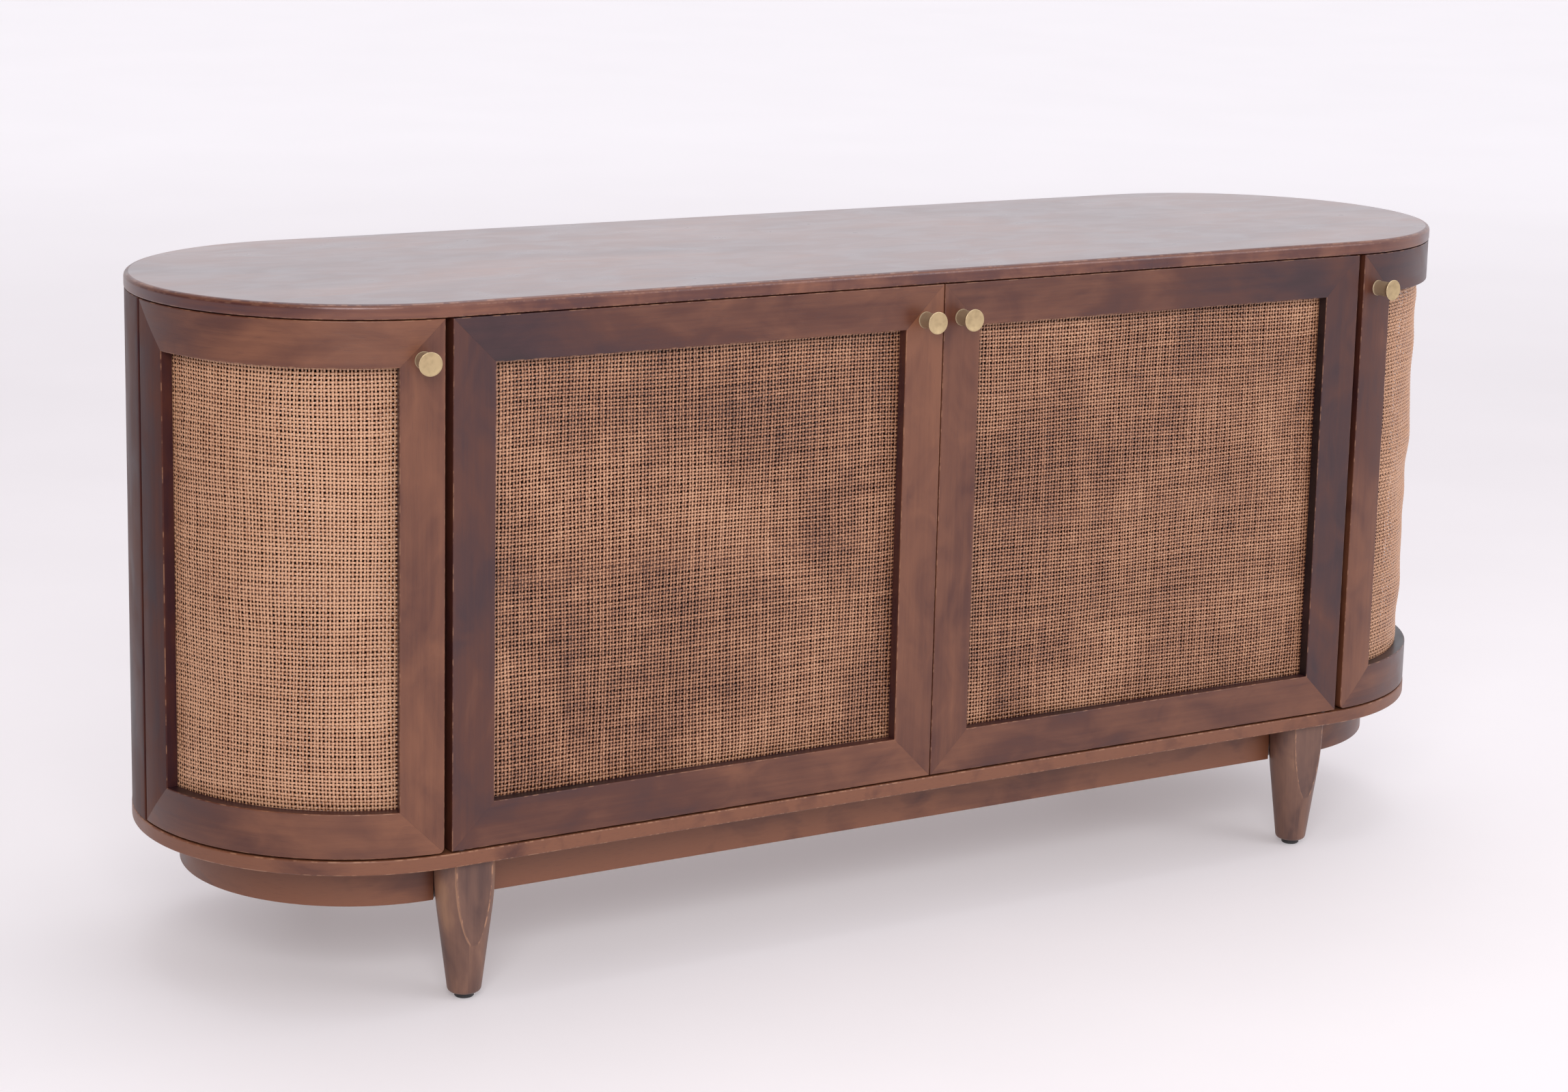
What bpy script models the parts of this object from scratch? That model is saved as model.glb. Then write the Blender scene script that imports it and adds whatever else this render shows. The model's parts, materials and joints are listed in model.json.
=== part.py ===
"""Oval four-door sideboard with woven cane doors, modelled as separate pieces.

Units are metres and +Z is up.  The plan is a stadium: straight front and back, half-round ends.
The floor is z = 0.  The cabinet's own centreline lies CENTRE_SHIFT behind the origin, so that the
origin is the bottom centre of the whole object, knobs included.
Two flat doors close the middle bay and two curved doors close the round end bays.
"""

import math

import bmesh
import bpy
from mathutils import Matrix, Vector

# Overall sizes
LENGTH = 1.750
DEPTH = 0.513
HEIGHT = 0.786
TOP_THICK = 0.0162
BOARD_THICK = 0.0165
BOARD_HEIGHT = 0.1635  # floor to the underside of the bottom board
EDGE_EASE = 0.002  # rounding of the top's and the board's edges

# Carcass
FACE_SETBACK = 0.0005  # doors and walls stand this far inside the top's outline
WALL_THICK = 0.016
PARTITION_THICK = 0.018
SHELF_THICK = 0.016
SHELF_HEIGHT = 0.475  # top surface of the shelves
SHELF_FRONT_PLAY = 0.004
HOUSING_DEPTH = 0.005  # grooves that take the partitions and the shelves

# Doors
DOOR_THICK = 0.022
FRAME_WIDTH = 0.0504
REBATE_WIDTH = 0.010
CANE_SETBACK = 0.0135
CANE_THICK = 0.002
SEAM_GAP = 0.0012  # between the two middle doors
TOP_GAP = 0.0010
BOTTOM_GAP = 0.002
MIDDLE_DOOR_LAP = 0.002  # how far a middle door runs past the straight front
CORNER_GAP = 0.009  # between a middle door and an end door
END_GAP = 0.0025  # from an end door to the middle of the round end
PIVOT_INSET = 0.014  # hinge axis, in from the door's outer edge
SWING_CLEARANCE = 0.0015

# Knobs
KNOB_REACH = 0.026
KNOB_INSET = 0.0245  # from the door's free edge
KNOB_DROP = 0.0400  # from a middle door's top edge
END_KNOB_DROP = 0.0430  # from an end door's top edge
KNOB_RADIUS = 0.0130
KNOB_STEM_RADIUS = 0.0092
KNOB_FLANGE_RADIUS = 0.0098
KNOB_FLANGE_THICK = 0.0012
KNOB_RIM_THICK = 0.0010
KNOB_RIM_CHAMFER = 0.0004
KNOB_FLARE_LENGTH = 0.0070
KNOB_DISH_DEPTH = 0.0022
KNOB_STUD_RADIUS = 0.0020
KNOB_STUD_LENGTH = 0.012

# Legs, glides and plinth
LEG_RADIUS = 0.034
LEG_FOOT_RADIUS = 0.0192
LEG_FOOT_ROUND = 0.0045
LEG_SHOULDER_HEIGHT = 0.127  # where the straight taper would meet the cylinder
LEG_SHOULDER_BLEND = 0.030
LEG_FACET = 0.0261  # flat on the outer side, measured from the leg's axis
LEG_INSET_X = 0.030  # leg axis, in from the end of the straight front
LEG_INSET_Y = 0.0367  # leg axis, in from the front edge of the board
LEG_TENON_RADIUS = 0.012
GLIDE_RADIUS = 0.011
GLIDE_HEIGHT = 0.006
GLIDE_CHAMFER = 0.0012
GLIDE_NAIL_RADIUS = 0.002
GLIDE_NAIL_LENGTH = 0.014
PLINTH_INSET = 0.0525
PLINTH_THICK = 0.018
PLINTH_HEIGHT = 0.0527
PLINTH_PAST_LEG = 0.012  # where a plinth piece stops, measured from the leg's axis

# Fittings
PIN_RADIUS = 0.003
PIN_IN_DOOR = 0.022
PIN_IN_SLAB = 0.010
PIN_COLLAR_RADIUS = 0.0065
CATCH_LENGTH = 0.040
CATCH_DEPTH = 0.013
CATCH_HEIGHT = 0.013
CATCH_AIR = 0.001  # between the magnet and the door
CATCH_INSET = 0.045  # catch's middle, in from the door's free edge

GAP = 0.0003  # clearance that neighbouring pieces keep
ARC_STEPS = 32  # flats in each half-round outline
DOOR_ARC_STEPS = 20
ROUND_SIDES = 16
FINE_SIDES = 10
SMOOTH_ANGLE = math.radians(35)  # edges flatter than this are shaded smooth

# Worked out from the sizes above
END_RADIUS = DEPTH / 2
STRAIGHT = LENGTH / 2 - END_RADIUS  # half the straight front
CENTRE_SHIFT = (KNOB_REACH - FACE_SETBACK) / 2
FACE_RADIUS = END_RADIUS - FACE_SETBACK
TOP_UNDERSIDE = HEIGHT - TOP_THICK
BOARD_SURFACE = BOARD_HEIGHT + BOARD_THICK
WALL_BOTTOM = BOARD_SURFACE + GAP
WALL_TOP = TOP_UNDERSIDE - GAP
WALL_INNER_RADIUS = FACE_RADIUS - WALL_THICK
DOOR_BOTTOM = BOARD_SURFACE + BOTTOM_GAP
DOOR_TOP = TOP_UNDERSIDE - TOP_GAP
PIVOT_DEPTH = DOOR_THICK / 2
CORNER_SWEEP = math.hypot(PIVOT_DEPTH, PIVOT_INSET)  # of a door's back corner round its hinge axis
MIDDLE_DOOR_WIDTH = STRAIGHT + MIDDLE_DOOR_LAP - SEAM_GAP / 2
END_DOOR_START = MIDDLE_DOOR_LAP + CORNER_GAP  # arc length past the straight front
END_DOOR_WIDTH = FACE_RADIUS * math.pi / 2 - END_GAP - END_DOOR_START
SIDE_PANEL_START = CORNER_SWEEP - PIVOT_INSET - END_GAP + SWING_CLEARANCE
CLEAR_RADIUS = FACE_RADIUS - PIVOT_DEPTH - CORNER_SWEEP - SWING_CLEARANCE  # doors stay outside it
PARTITION_FRONT = -CLEAR_RADIUS
PARTITION_BACK = math.sqrt(WALL_INNER_RADIUS**2 - (PARTITION_THICK / 2) ** 2) - GAP
PARTITION_FACE = STRAIGHT - PARTITION_THICK / 2
SHELF_UNDERSIDE = SHELF_HEIGHT - SHELF_THICK
LEG_X = STRAIGHT - LEG_INSET_X
LEG_Y = END_RADIUS - LEG_INSET_Y
LEG_TOP = BOARD_HEIGHT - GAP
LEG_BOTTOM = GLIDE_HEIGHT + GAP
PLINTH_RADIUS = END_RADIUS - PLINTH_INSET
PLINTH_TOP = BOARD_HEIGHT - GAP
PLINTH_BOTTOM = BOARD_HEIGHT - PLINTH_HEIGHT
CANE_FRONT = CANE_SETBACK + GAP
BEAD_FRONT = CANE_FRONT + CANE_THICK + GAP

# Each door: which side of the middle it is on, and whether it is curved
DOORS = {
    "left_end": (-1, True),
    "centre_left": (-1, False),
    "centre_right": (1, False),
    "right_end": (1, True),
}

# Each leg: its axis and the way its flat faces
LEGS = {
    "front_left": (-LEG_X, -LEG_Y, -1),
    "front_right": (LEG_X, -LEG_Y, -1),
    "back_left": (-LEG_X, LEG_Y, 1),
    "back_right": (LEG_X, LEG_Y, 1),
}

FINISHES = {
    "stained_wood": ((0.115, 0.048, 0.028), 0.38),
    "leg_wood": ((0.14, 0.062, 0.036), 0.42),
    "inner_wood": ((0.16, 0.085, 0.05), 0.5),
    "cane": ((0.42, 0.25, 0.14), 0.55),
    "aged_brass": ((0.36, 0.29, 0.17), 0.42, 1.0),
    "steel": ((0.5, 0.5, 0.5), 0.35, 1.0),
    "black_plastic": ((0.02, 0.02, 0.022), 0.5),
}


# ---------------------------------------------------------------- scene, objects and cutters
def clear_scene():
    """Remove whatever the start-up scene holds."""
    for old in list(bpy.data.objects):
        bpy.data.objects.remove(old, do_unlink=True)


def new_collection(name):
    """A collection linked to the scene."""
    made = bpy.data.collections.new(name)
    bpy.context.scene.collection.children.link(made)
    return made


def new_material(name, colour, roughness, metallic=0.0):
    """A Principled material."""
    made = bpy.data.materials.new(name)
    made.use_nodes = True
    made.diffuse_color = (*colour, 1.0)
    shader = made.node_tree.nodes["Principled BSDF"]
    shader.inputs["Base Color"].default_value = (*colour, 1.0)
    shader.inputs["Roughness"].default_value = roughness
    shader.inputs["Metallic"].default_value = metallic
    return made


def new_empty(name, place, parent=None):
    """An empty that other pieces hang from."""
    made = bpy.data.objects.new(name, None)
    made.location = place
    made.parent = parent
    PARTS.objects.link(made)
    return made


def add_object(name, bm, home, parent):
    """Put a finished bmesh, built in cabinet coordinates, into an object under a parent."""
    bmesh.ops.recalc_face_normals(bm, faces=bm.faces)
    mesh = bpy.data.meshes.new(name)
    bm.to_mesh(mesh)
    bm.free()
    mesh.shade_smooth()
    mesh.set_sharp_from_angle(angle=SMOOTH_ANGLE)
    if parent is not CABINET:
        mesh.transform(Matrix.Translation(-parent.location))
    made = bpy.data.objects.new(name, mesh)
    home.objects.link(made)
    made.parent = parent
    return made


def add_part(name, bm, finish, parent=None):
    """One sub-part, with a material of its own."""
    made = add_object(name, bm, PARTS, parent or CABINET)
    made.data.materials.append(new_material(f"{name}_finish", *FINISHES[finish]))
    return made


def add_cutter(name, bm, parent=None):
    """A hidden solid that other pieces are cut with."""
    made = add_object(name, bm, CUTTERS, parent or CABINET)
    made.hide_render = True
    made.display_type = "WIRE"
    return made


def cut(piece, cutter):
    """Take the cutter away from the piece."""
    modifier = piece.modifiers.new(f"cut_{cutter.name}", "BOOLEAN")
    modifier.operation = "DIFFERENCE"
    modifier.object = cutter


clear_scene()
PARTS = new_collection("sideboard")
CUTTERS = new_collection("cutters")
CABINET = new_empty("cabinet_centre", (0.0, CENTRE_SHIFT, 0.0))


# ---------------------------------------------------------------- shapes
def box(bm, low, high, turn=0.0):
    """A box between two corners, turned about Z around its middle."""
    low = Vector(low)
    high = Vector(high)
    matrix = Matrix.Translation((low + high) / 2) @ Matrix.Rotation(turn, 4, "Z")
    bmesh.ops.create_cube(bm, size=1.0, matrix=matrix @ Matrix.Diagonal((*(high - low), 1.0)))


def rod(bm, start, end, radius, sides=ROUND_SIDES):
    """A round bar from one point to another."""
    start = Vector(start)
    end = Vector(end)
    along = end - start
    turn = along.to_track_quat("Z", "Y").to_matrix().to_4x4()
    bmesh.ops.create_cone(
        bm,
        cap_ends=True,
        segments=sides,
        radius1=radius,
        radius2=radius,
        depth=along.length,
        matrix=Matrix.Translation((start + end) / 2) @ turn,
    )


def prism(bm, outline, low, high):
    """A flat outline of (x, y) points raised from low to high."""
    base = bm.faces.new([bm.verts.new((x, y, low)) for x, y in outline])
    raised = bmesh.ops.extrude_face_region(bm, geom=[base])
    tops = [item for item in raised["geom"] if isinstance(item, bmesh.types.BMVert)]
    bmesh.ops.translate(bm, verts=tops, vec=(0.0, 0.0, high - low))


def end_arc(side, radius, start, end, steps):
    """Points round one end; the angle runs from the front (0) over the end (90) to the back (180)."""
    points = []
    for i in range(steps + 1):
        angle = math.radians(start + (end - start) * i / steps)
        points.append((side * (STRAIGHT + radius * math.sin(angle)), -radius * math.cos(angle)))
    return points


def stadium(radius):
    """The whole outline: both half-round ends joined by the straight front and back."""
    return end_arc(1, radius, 0, 180, ARC_STEPS) + end_arc(-1, radius, 180, 0, ARC_STEPS)


def turned(name, profile, steps, finish, place, parent=None, axis=(0.0, 0.0, 1.0)):
    """A turned piece: a profile of (radius, height) points, top to bottom, swept by a Screw."""
    mesh = bpy.data.meshes.new(name)
    points = [(radius, 0.0, height) for radius, height in profile]
    mesh.from_pydata(points, [(i, i + 1) for i in range(len(points) - 1)], [])
    made = bpy.data.objects.new(name, mesh)
    PARTS.objects.link(made)
    made.parent = parent or CABINET
    made.location = Vector(place) - (parent.location if parent else Vector())
    made.rotation_euler = Vector(axis).to_track_quat("Z", "Y").to_euler()
    screw = made.modifiers.new("turn", "SCREW")
    screw.steps = steps
    screw.render_steps = steps
    screw.use_merge_vertices = True
    screw.merge_threshold = 0.00005
    made.data.materials.append(new_material(f"{name}_finish", *FINISHES[finish]))
    return made


# ---------------------------------------------------------------- door coordinates
def flat_place(side):
    """Cabinet place of (s from the free edge, depth behind the face, height) on a middle door."""

    def place(s, depth, z):
        return Vector((side * (SEAM_GAP / 2 + s), -FACE_RADIUS + depth, z))

    return place


def round_place(side):
    """The same on an end door, whose face is part of a cylinder; s is measured along its face."""

    def place(s, depth, z):
        angle = (END_DOOR_START + s) / FACE_RADIUS
        radius = FACE_RADIUS - depth
        return Vector((side * (STRAIGHT + radius * math.sin(angle)), -radius * math.cos(angle), z))

    return place


def door_layout(name):
    """A door's place function, its width and a point on its hinge axis."""
    side, curved = DOORS[name]
    place = round_place(side) if curved else flat_place(side)
    width = END_DOOR_WIDTH if curved else MIDDLE_DOOR_WIDTH
    return place, width, place(width - PIVOT_INSET, PIVOT_DEPTH, 0.0)


PIVOTS = [door_layout(name)[2] for name in DOORS]


# ---------------------------------------------------------------- carcass
def make_slab(name, low, high):
    """Top or bottom board: the stadium outline with eased edges."""
    bm = bmesh.new()
    prism(bm, stadium(END_RADIUS), low, high)
    slab = add_part(name, bm, "stained_wood")
    ease = slab.modifiers.new("ease", "BEVEL")
    ease.width = EDGE_EASE
    ease.segments = 2
    ease.limit_method = "ANGLE"
    ease.angle_limit = math.radians(60)
    return slab


def slab_cutter(name, face, into):
    """Blind holes for the hinge pins and grooves for the partitions, sunk into a slab's face.

    into is 1 where the slab lies above its face and -1 where it lies below.
    """
    bm = bmesh.new()
    for x, y, _ in PIVOTS:
        rod(bm, (x, y, face - into * GAP), (x, y, face + into * (PIN_IN_SLAB + 2 * GAP)), PIN_RADIUS + GAP)
    half = PARTITION_THICK / 2 + GAP
    for side in (-1, 1):
        levels = sorted((face - into * GAP, face + into * (HOUSING_DEPTH + GAP)))
        low = (side * STRAIGHT - half, PARTITION_FRONT - GAP, levels[0])
        high = (side * STRAIGHT + half, PARTITION_BACK + GAP, levels[1])
        box(bm, low, high)
    return add_cutter(name, bm)


def make_top():
    """The top, with its pin holes and grooves underneath."""
    cut(make_slab("top", TOP_UNDERSIDE, HEIGHT), slab_cutter("top_cuts", TOP_UNDERSIDE, 1))


def make_bottom_board():
    """The bottom board, with pin holes and grooves above and the legs' tenon holes right through."""
    board = make_slab("bottom_board", BOARD_HEIGHT, BOARD_SURFACE)
    cut(board, slab_cutter("board_cuts", BOARD_SURFACE, -1))
    bm = bmesh.new()
    for x, y, _ in LEGS.values():
        rod(bm, (x, y, BOARD_HEIGHT - GAP), (x, y, BOARD_SURFACE + GAP), LEG_TENON_RADIUS + GAP)
    cut(board, add_cutter("tenon_holes", bm))


def make_partitions():
    """The two upright partitions, let into the top and the board and grooved for the shelves."""
    grooves = bmesh.new()
    front = PARTITION_FRONT + SHELF_FRONT_PLAY - GAP
    low = SHELF_UNDERSIDE - GAP
    high = SHELF_HEIGHT + GAP
    inner = PARTITION_FACE + HOUSING_DEPTH + GAP
    outer = STRAIGHT + PARTITION_THICK / 2 - HOUSING_DEPTH - GAP
    for start, end in ((-LENGTH / 2, -outer), (-inner, inner), (outer, LENGTH / 2)):
        box(grooves, (start, front, low), (end, END_RADIUS, high))
    shelf_grooves = add_cutter("shelf_grooves", grooves)
    for hand, side in (("left", -1), ("right", 1)):
        bm = bmesh.new()
        half = PARTITION_THICK / 2
        low = (side * STRAIGHT - half, PARTITION_FRONT, BOARD_SURFACE - HOUSING_DEPTH)
        high = (side * STRAIGHT + half, PARTITION_BACK, TOP_UNDERSIDE + HOUSING_DEPTH)
        box(bm, low, high)
        cut(add_part(f"{hand}_partition", bm, "inner_wood"), shelf_grooves)


def make_side_panels():
    """Quarter-round walls from the end doors' hinge side to the back."""
    start = 90 + math.degrees(SIDE_PANEL_START / FACE_RADIUS)
    for hand, side in (("left", -1), ("right", 1)):
        outline = end_arc(side, FACE_RADIUS, start, 180, ARC_STEPS // 2)
        outline += end_arc(side, WALL_INNER_RADIUS, 180, start, ARC_STEPS // 2)
        bm = bmesh.new()
        prism(bm, outline, WALL_BOTTOM, WALL_TOP)
        add_part(f"{hand}_side_panel", bm, "stained_wood")


def make_back_panel():
    """The flat back between the side panels."""
    bm = bmesh.new()
    reach = STRAIGHT - GAP
    box(bm, (-reach, WALL_INNER_RADIUS, WALL_BOTTOM), (reach, FACE_RADIUS, WALL_TOP))
    add_part("back_panel", bm, "inner_wood")


def make_shelves():
    """One shelf in each bay, let into the partitions; the end shelves are cut to the round."""
    front = PARTITION_FRONT + SHELF_FRONT_PLAY
    reach = PARTITION_FACE + HOUSING_DEPTH
    bm = bmesh.new()
    box(bm, (-reach, front, SHELF_UNDERSIDE), (reach, WALL_INNER_RADIUS - GAP, SHELF_HEIGHT))
    add_part("centre_shelf", bm, "inner_wood")
    flat = STRAIGHT + PARTITION_THICK / 2 - HOUSING_DEPTH
    front_angle = math.degrees(math.acos(-front / CLEAR_RADIUS))
    for hand, side in (("left", -1), ("right", 1)):
        arc = end_arc(side, CLEAR_RADIUS, front_angle, 180 - front_angle, ARC_STEPS)
        outline = [(side * flat, front)] + arc + [(side * flat, -front)]
        bm = bmesh.new()
        prism(bm, outline, SHELF_UNDERSIDE, SHELF_HEIGHT)
        add_part(f"{hand}_shelf", bm, "inner_wood")


# ---------------------------------------------------------------- base
def leg_radius_at(z):
    """Straight taper from the foot, blended into the cylinder by a parabola at the shoulder."""
    slope = (LEG_RADIUS - LEG_FOOT_RADIUS) / (LEG_SHOULDER_HEIGHT - LEG_BOTTOM - LEG_FOOT_ROUND)
    past = z - (LEG_SHOULDER_HEIGHT - LEG_SHOULDER_BLEND)
    if past <= 0:
        return LEG_RADIUS - slope * (LEG_SHOULDER_HEIGHT - z)
    if past >= 2 * LEG_SHOULDER_BLEND:
        return LEG_RADIUS
    return LEG_RADIUS - slope * (2 * LEG_SHOULDER_BLEND - past) ** 2 / (4 * LEG_SHOULDER_BLEND)


def leg_profile():
    """Top to bottom down the outer side: tenon, shoulder, taper and a quarter-round at the foot."""
    tenon_top = BOARD_SURFACE - GAP
    profile = [(0.0, tenon_top), (LEG_TENON_RADIUS, tenon_top), (LEG_TENON_RADIUS, LEG_TOP)]
    heights = [LEG_TOP]
    heights += [LEG_SHOULDER_HEIGHT + LEG_SHOULDER_BLEND * k for k in (0.8, 0.4, 0.0, -0.4, -1.0)]
    heights.append(LEG_BOTTOM + LEG_FOOT_ROUND)
    profile += [(leg_radius_at(z), z) for z in heights]
    core = LEG_FOOT_RADIUS - LEG_FOOT_ROUND
    for degrees in (60, 30, 0):
        angle = math.radians(degrees)
        rise = LEG_FOOT_ROUND * (1 - math.cos(angle))
        profile.append((core + LEG_FOOT_ROUND * math.sin(angle), LEG_BOTTOM + rise))
    return profile + [(0.0, LEG_BOTTOM)]


def make_legs():
    """Four turned legs, each planed flat on the side that faces out and bored for its glide."""
    flats = bmesh.new()
    bores = bmesh.new()
    nail_top = GLIDE_HEIGHT + GLIDE_NAIL_LENGTH + GAP
    for x, y, facing in LEGS.values():
        ys = sorted((y + facing * LEG_FACET, y + facing * 2 * LEG_RADIUS))
        wide = 1.5 * LEG_RADIUS
        box(flats, (x - wide, ys[0], LEG_BOTTOM - GAP), (x + wide, ys[1], LEG_TOP + GAP))
        rod(bores, (x, y, LEG_BOTTOM - GAP), (x, y, nail_top), GLIDE_NAIL_RADIUS + GAP, FINE_SIDES)
    leg_flats = add_cutter("leg_flats", flats)
    leg_bores = add_cutter("leg_bores", bores)
    for name, (x, y, _) in LEGS.items():
        leg = turned(f"{name}_leg", leg_profile(), 28, "leg_wood", (x, y, 0.0))
        cut(leg, leg_flats)
        cut(leg, leg_bores)


def make_glides():
    """Black glides, each nailed up into its leg."""
    nail_top = GLIDE_HEIGHT + GLIDE_NAIL_LENGTH
    profile = [(0.0, nail_top), (GLIDE_NAIL_RADIUS, nail_top), (GLIDE_NAIL_RADIUS, GLIDE_HEIGHT)]
    profile += [(GLIDE_RADIUS, GLIDE_HEIGHT), (GLIDE_RADIUS, GLIDE_CHAMFER)]
    profile += [(GLIDE_RADIUS - GLIDE_CHAMFER, 0.0), (0.0, 0.0)]
    for name, (x, y, _) in LEGS.items():
        turned(f"{name}_glide", profile, 20, "black_plastic", (x, y, 0.0))


def make_plinth():
    """A straight rail in front and a half-round piece at each end, coped to the legs."""
    bm = bmesh.new()
    for x, y, _ in LEGS.values():
        rod(bm, (x, y, PLINTH_BOTTOM - GAP), (x, y, PLINTH_TOP + GAP), LEG_RADIUS + GAP, 28)
    copes = add_cutter("plinth_copes", bm)
    inner = PLINTH_RADIUS - PLINTH_THICK
    bm = bmesh.new()
    reach = LEG_X - PLINTH_PAST_LEG
    box(bm, (-reach, -PLINTH_RADIUS, PLINTH_BOTTOM), (reach, -inner, PLINTH_TOP))
    cut(add_part("front_plinth_rail", bm, "stained_wood"), copes)
    tail = LEG_X + PLINTH_PAST_LEG
    for hand, side in (("left", -1), ("right", 1)):
        outline = [(side * tail, -PLINTH_RADIUS)] + end_arc(side, PLINTH_RADIUS, 0, 180, ARC_STEPS)
        outline += [(side * tail, PLINTH_RADIUS), (side * tail, inner)]
        outline += end_arc(side, inner, 180, 0, ARC_STEPS) + [(side * tail, -inner)]
        bm = bmesh.new()
        prism(bm, outline, PLINTH_BOTTOM, PLINTH_TOP)
        cut(add_part(f"{hand}_plinth_curve", bm, "stained_wood"), copes)


# ---------------------------------------------------------------- doors
def join_rings(bm, rings, closed):
    """Walls between rings of points that share one section; returns the rings' vertices."""
    verts = [[bm.verts.new(point) for point in ring] for ring in rings]
    following = verts[1:] + verts[:1] if closed else verts[1:]
    for ring, after in zip(verts, following):
        for i in range(len(ring)):
            j = (i + 1) % len(ring)
            bm.faces.new((ring[i], ring[j], after[j], after[i]))
    return verts


def rebated_section(across_steps):
    """A frame member's section as (across, depth) points, across running in from the outer edge.

    The front is divided evenly up to the rebate, whose tongue stands in front of the cane.
    Also returned are the triangles, as point numbers, that close the member's ends.  Members that
    meet share them, so the warped mitres of a curved door keep the same distance all over.
    """
    shoulder = FRAME_WIDTH - REBATE_WIDTH
    columns = [shoulder * i / across_steps for i in range(across_steps + 1)]
    points = [(across, 0.0) for across in columns]
    points += [(FRAME_WIDTH, 0.0), (FRAME_WIDTH, CANE_SETBACK), (shoulder, CANE_SETBACK)]
    points += [(across, DOOR_THICK) for across in reversed(columns)]
    notch = across_steps + 3
    total = len(points)
    triangles = []
    for i in range(across_steps - 1):
        triangles += [(i, i + 1, total - 2 - i), (i, total - 2 - i, total - 1 - i)]
    last = across_steps - 1
    triangles += [(last, last + 1, notch), (last, notch, notch + 1), (last, notch + 1, notch + 2)]
    triangles += [(last + 1, last + 2, last + 3), (last + 1, last + 3, notch)]
    return points, triangles


def member_rings(points, member, width, place, steps, slack):
    """Rings of a mitred bar on one side of a door frame.

    A long line that runs at a distance across from the door's edge starts and ends that far in,
    plus the slack, which makes the mitre.
    """
    rings = []
    for k in range(steps + 1):
        t = k / steps
        ring = []
        for across, depth in points:
            inset = across + slack
            s = inset + (width - 2 * inset) * t
            z = DOOR_BOTTOM + inset + (DOOR_TOP - DOOR_BOTTOM - 2 * inset) * t
            ring.append({
                "free_stile": (across, depth, z),
                "hinge_stile": (width - across, depth, z),
                "top_rail": (s, depth, DOOR_TOP - across),
                "bottom_rail": (s, depth, DOOR_BOTTOM + across),
            }[member])
        rings.append([place(*point) for point in ring])
    return rings


def make_frame(name, place, width, rail_steps, cutters, hinge):
    """Two stiles and two rails, mitred at the corners."""
    points, triangles = rebated_section(3 if rail_steps > 1 else 1)
    slack = GAP * math.sqrt(0.5)
    for member, its_cutters in cutters.items():
        steps = rail_steps if member.endswith("rail") else 1
        bm = bmesh.new()
        verts = join_rings(bm, member_rings(points, member, width, place, steps, slack), False)
        for triangle in triangles:
            bm.faces.new([verts[0][i] for i in triangle])
            bm.faces.new([verts[-1][i] for i in triangle])
        piece = add_part(f"{name}_{member}", bm, "stained_wood", hinge)
        for cutter in its_cutters:
            cut(piece, cutter)


def make_cane(name, place, width, steps, hinge):
    """The woven panel as a thin plate that fills the rebate."""
    margin = FRAME_WIDTH - REBATE_WIDTH + GAP
    back = CANE_FRONT + CANE_THICK
    corners = ((CANE_FRONT, DOOR_TOP - margin), (CANE_FRONT, DOOR_BOTTOM + margin))
    corners += ((back, DOOR_BOTTOM + margin), (back, DOOR_TOP - margin))
    rings = []
    for k in range(steps + 1):
        s = margin + (width - 2 * margin) * k / steps
        rings.append([place(s, depth, z) for depth, z in corners])
    bm = bmesh.new()
    verts = join_rings(bm, rings, False)
    bm.faces.new(verts[0])
    bm.faces.new(verts[-1])
    add_part(f"{name}_cane", bm, "cane", hinge)


def make_bead_frame(name, place, width, steps, hinge):
    """A slim frame that holds the cane in the rebate from behind."""
    near = FRAME_WIDTH - REBATE_WIDTH + GAP
    points = [(near, BEAD_FRONT), (FRAME_WIDTH, BEAD_FRONT), (FRAME_WIDTH, DOOR_THICK), (near, DOOR_THICK)]
    rings = member_rings(points, "top_rail", width, place, steps, 0.0)[:-1]
    rings += member_rings(points, "hinge_stile", width, place, 1, 0.0)[:0:-1]
    rings += member_rings(points, "bottom_rail", width, place, steps, 0.0)[:0:-1]
    rings += member_rings(points, "free_stile", width, place, 1, 0.0)[:-1]
    bm = bmesh.new()
    join_rings(bm, rings, True)
    add_part(f"{name}_bead_frame", bm, "stained_wood", hinge)


def make_hinge_pins(name, pivot, hinge):
    """A collared steel pin at the top and bottom of the hinge side, and the cutter for their holes."""
    holes = bmesh.new()
    for level, edge, out, gap in (("top", DOOR_TOP, 1, TOP_GAP), ("bottom", DOOR_BOTTOM, -1, BOTTOM_GAP)):
        profile = [(0.0, gap + PIN_IN_SLAB), (PIN_RADIUS, gap + PIN_IN_SLAB), (PIN_RADIUS, gap - GAP)]
        profile += [(PIN_COLLAR_RADIUS, gap - GAP), (PIN_COLLAR_RADIUS, GAP), (PIN_RADIUS, GAP)]
        profile += [(PIN_RADIUS, -PIN_IN_DOOR), (0.0, -PIN_IN_DOOR)]
        at = Vector((pivot.x, pivot.y, edge))
        turned(f"{name}_{level}_pin", profile, ROUND_SIDES, "steel", at, hinge, (0.0, 0.0, out))
        reach = out * (PIN_IN_DOOR + GAP)
        rod(holes, at - Vector((0.0, 0.0, reach)), at + Vector((0.0, 0.0, out * GAP)), PIN_RADIUS + GAP)
    return add_cutter(f"{name}_pin_holes", holes, hinge)


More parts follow.
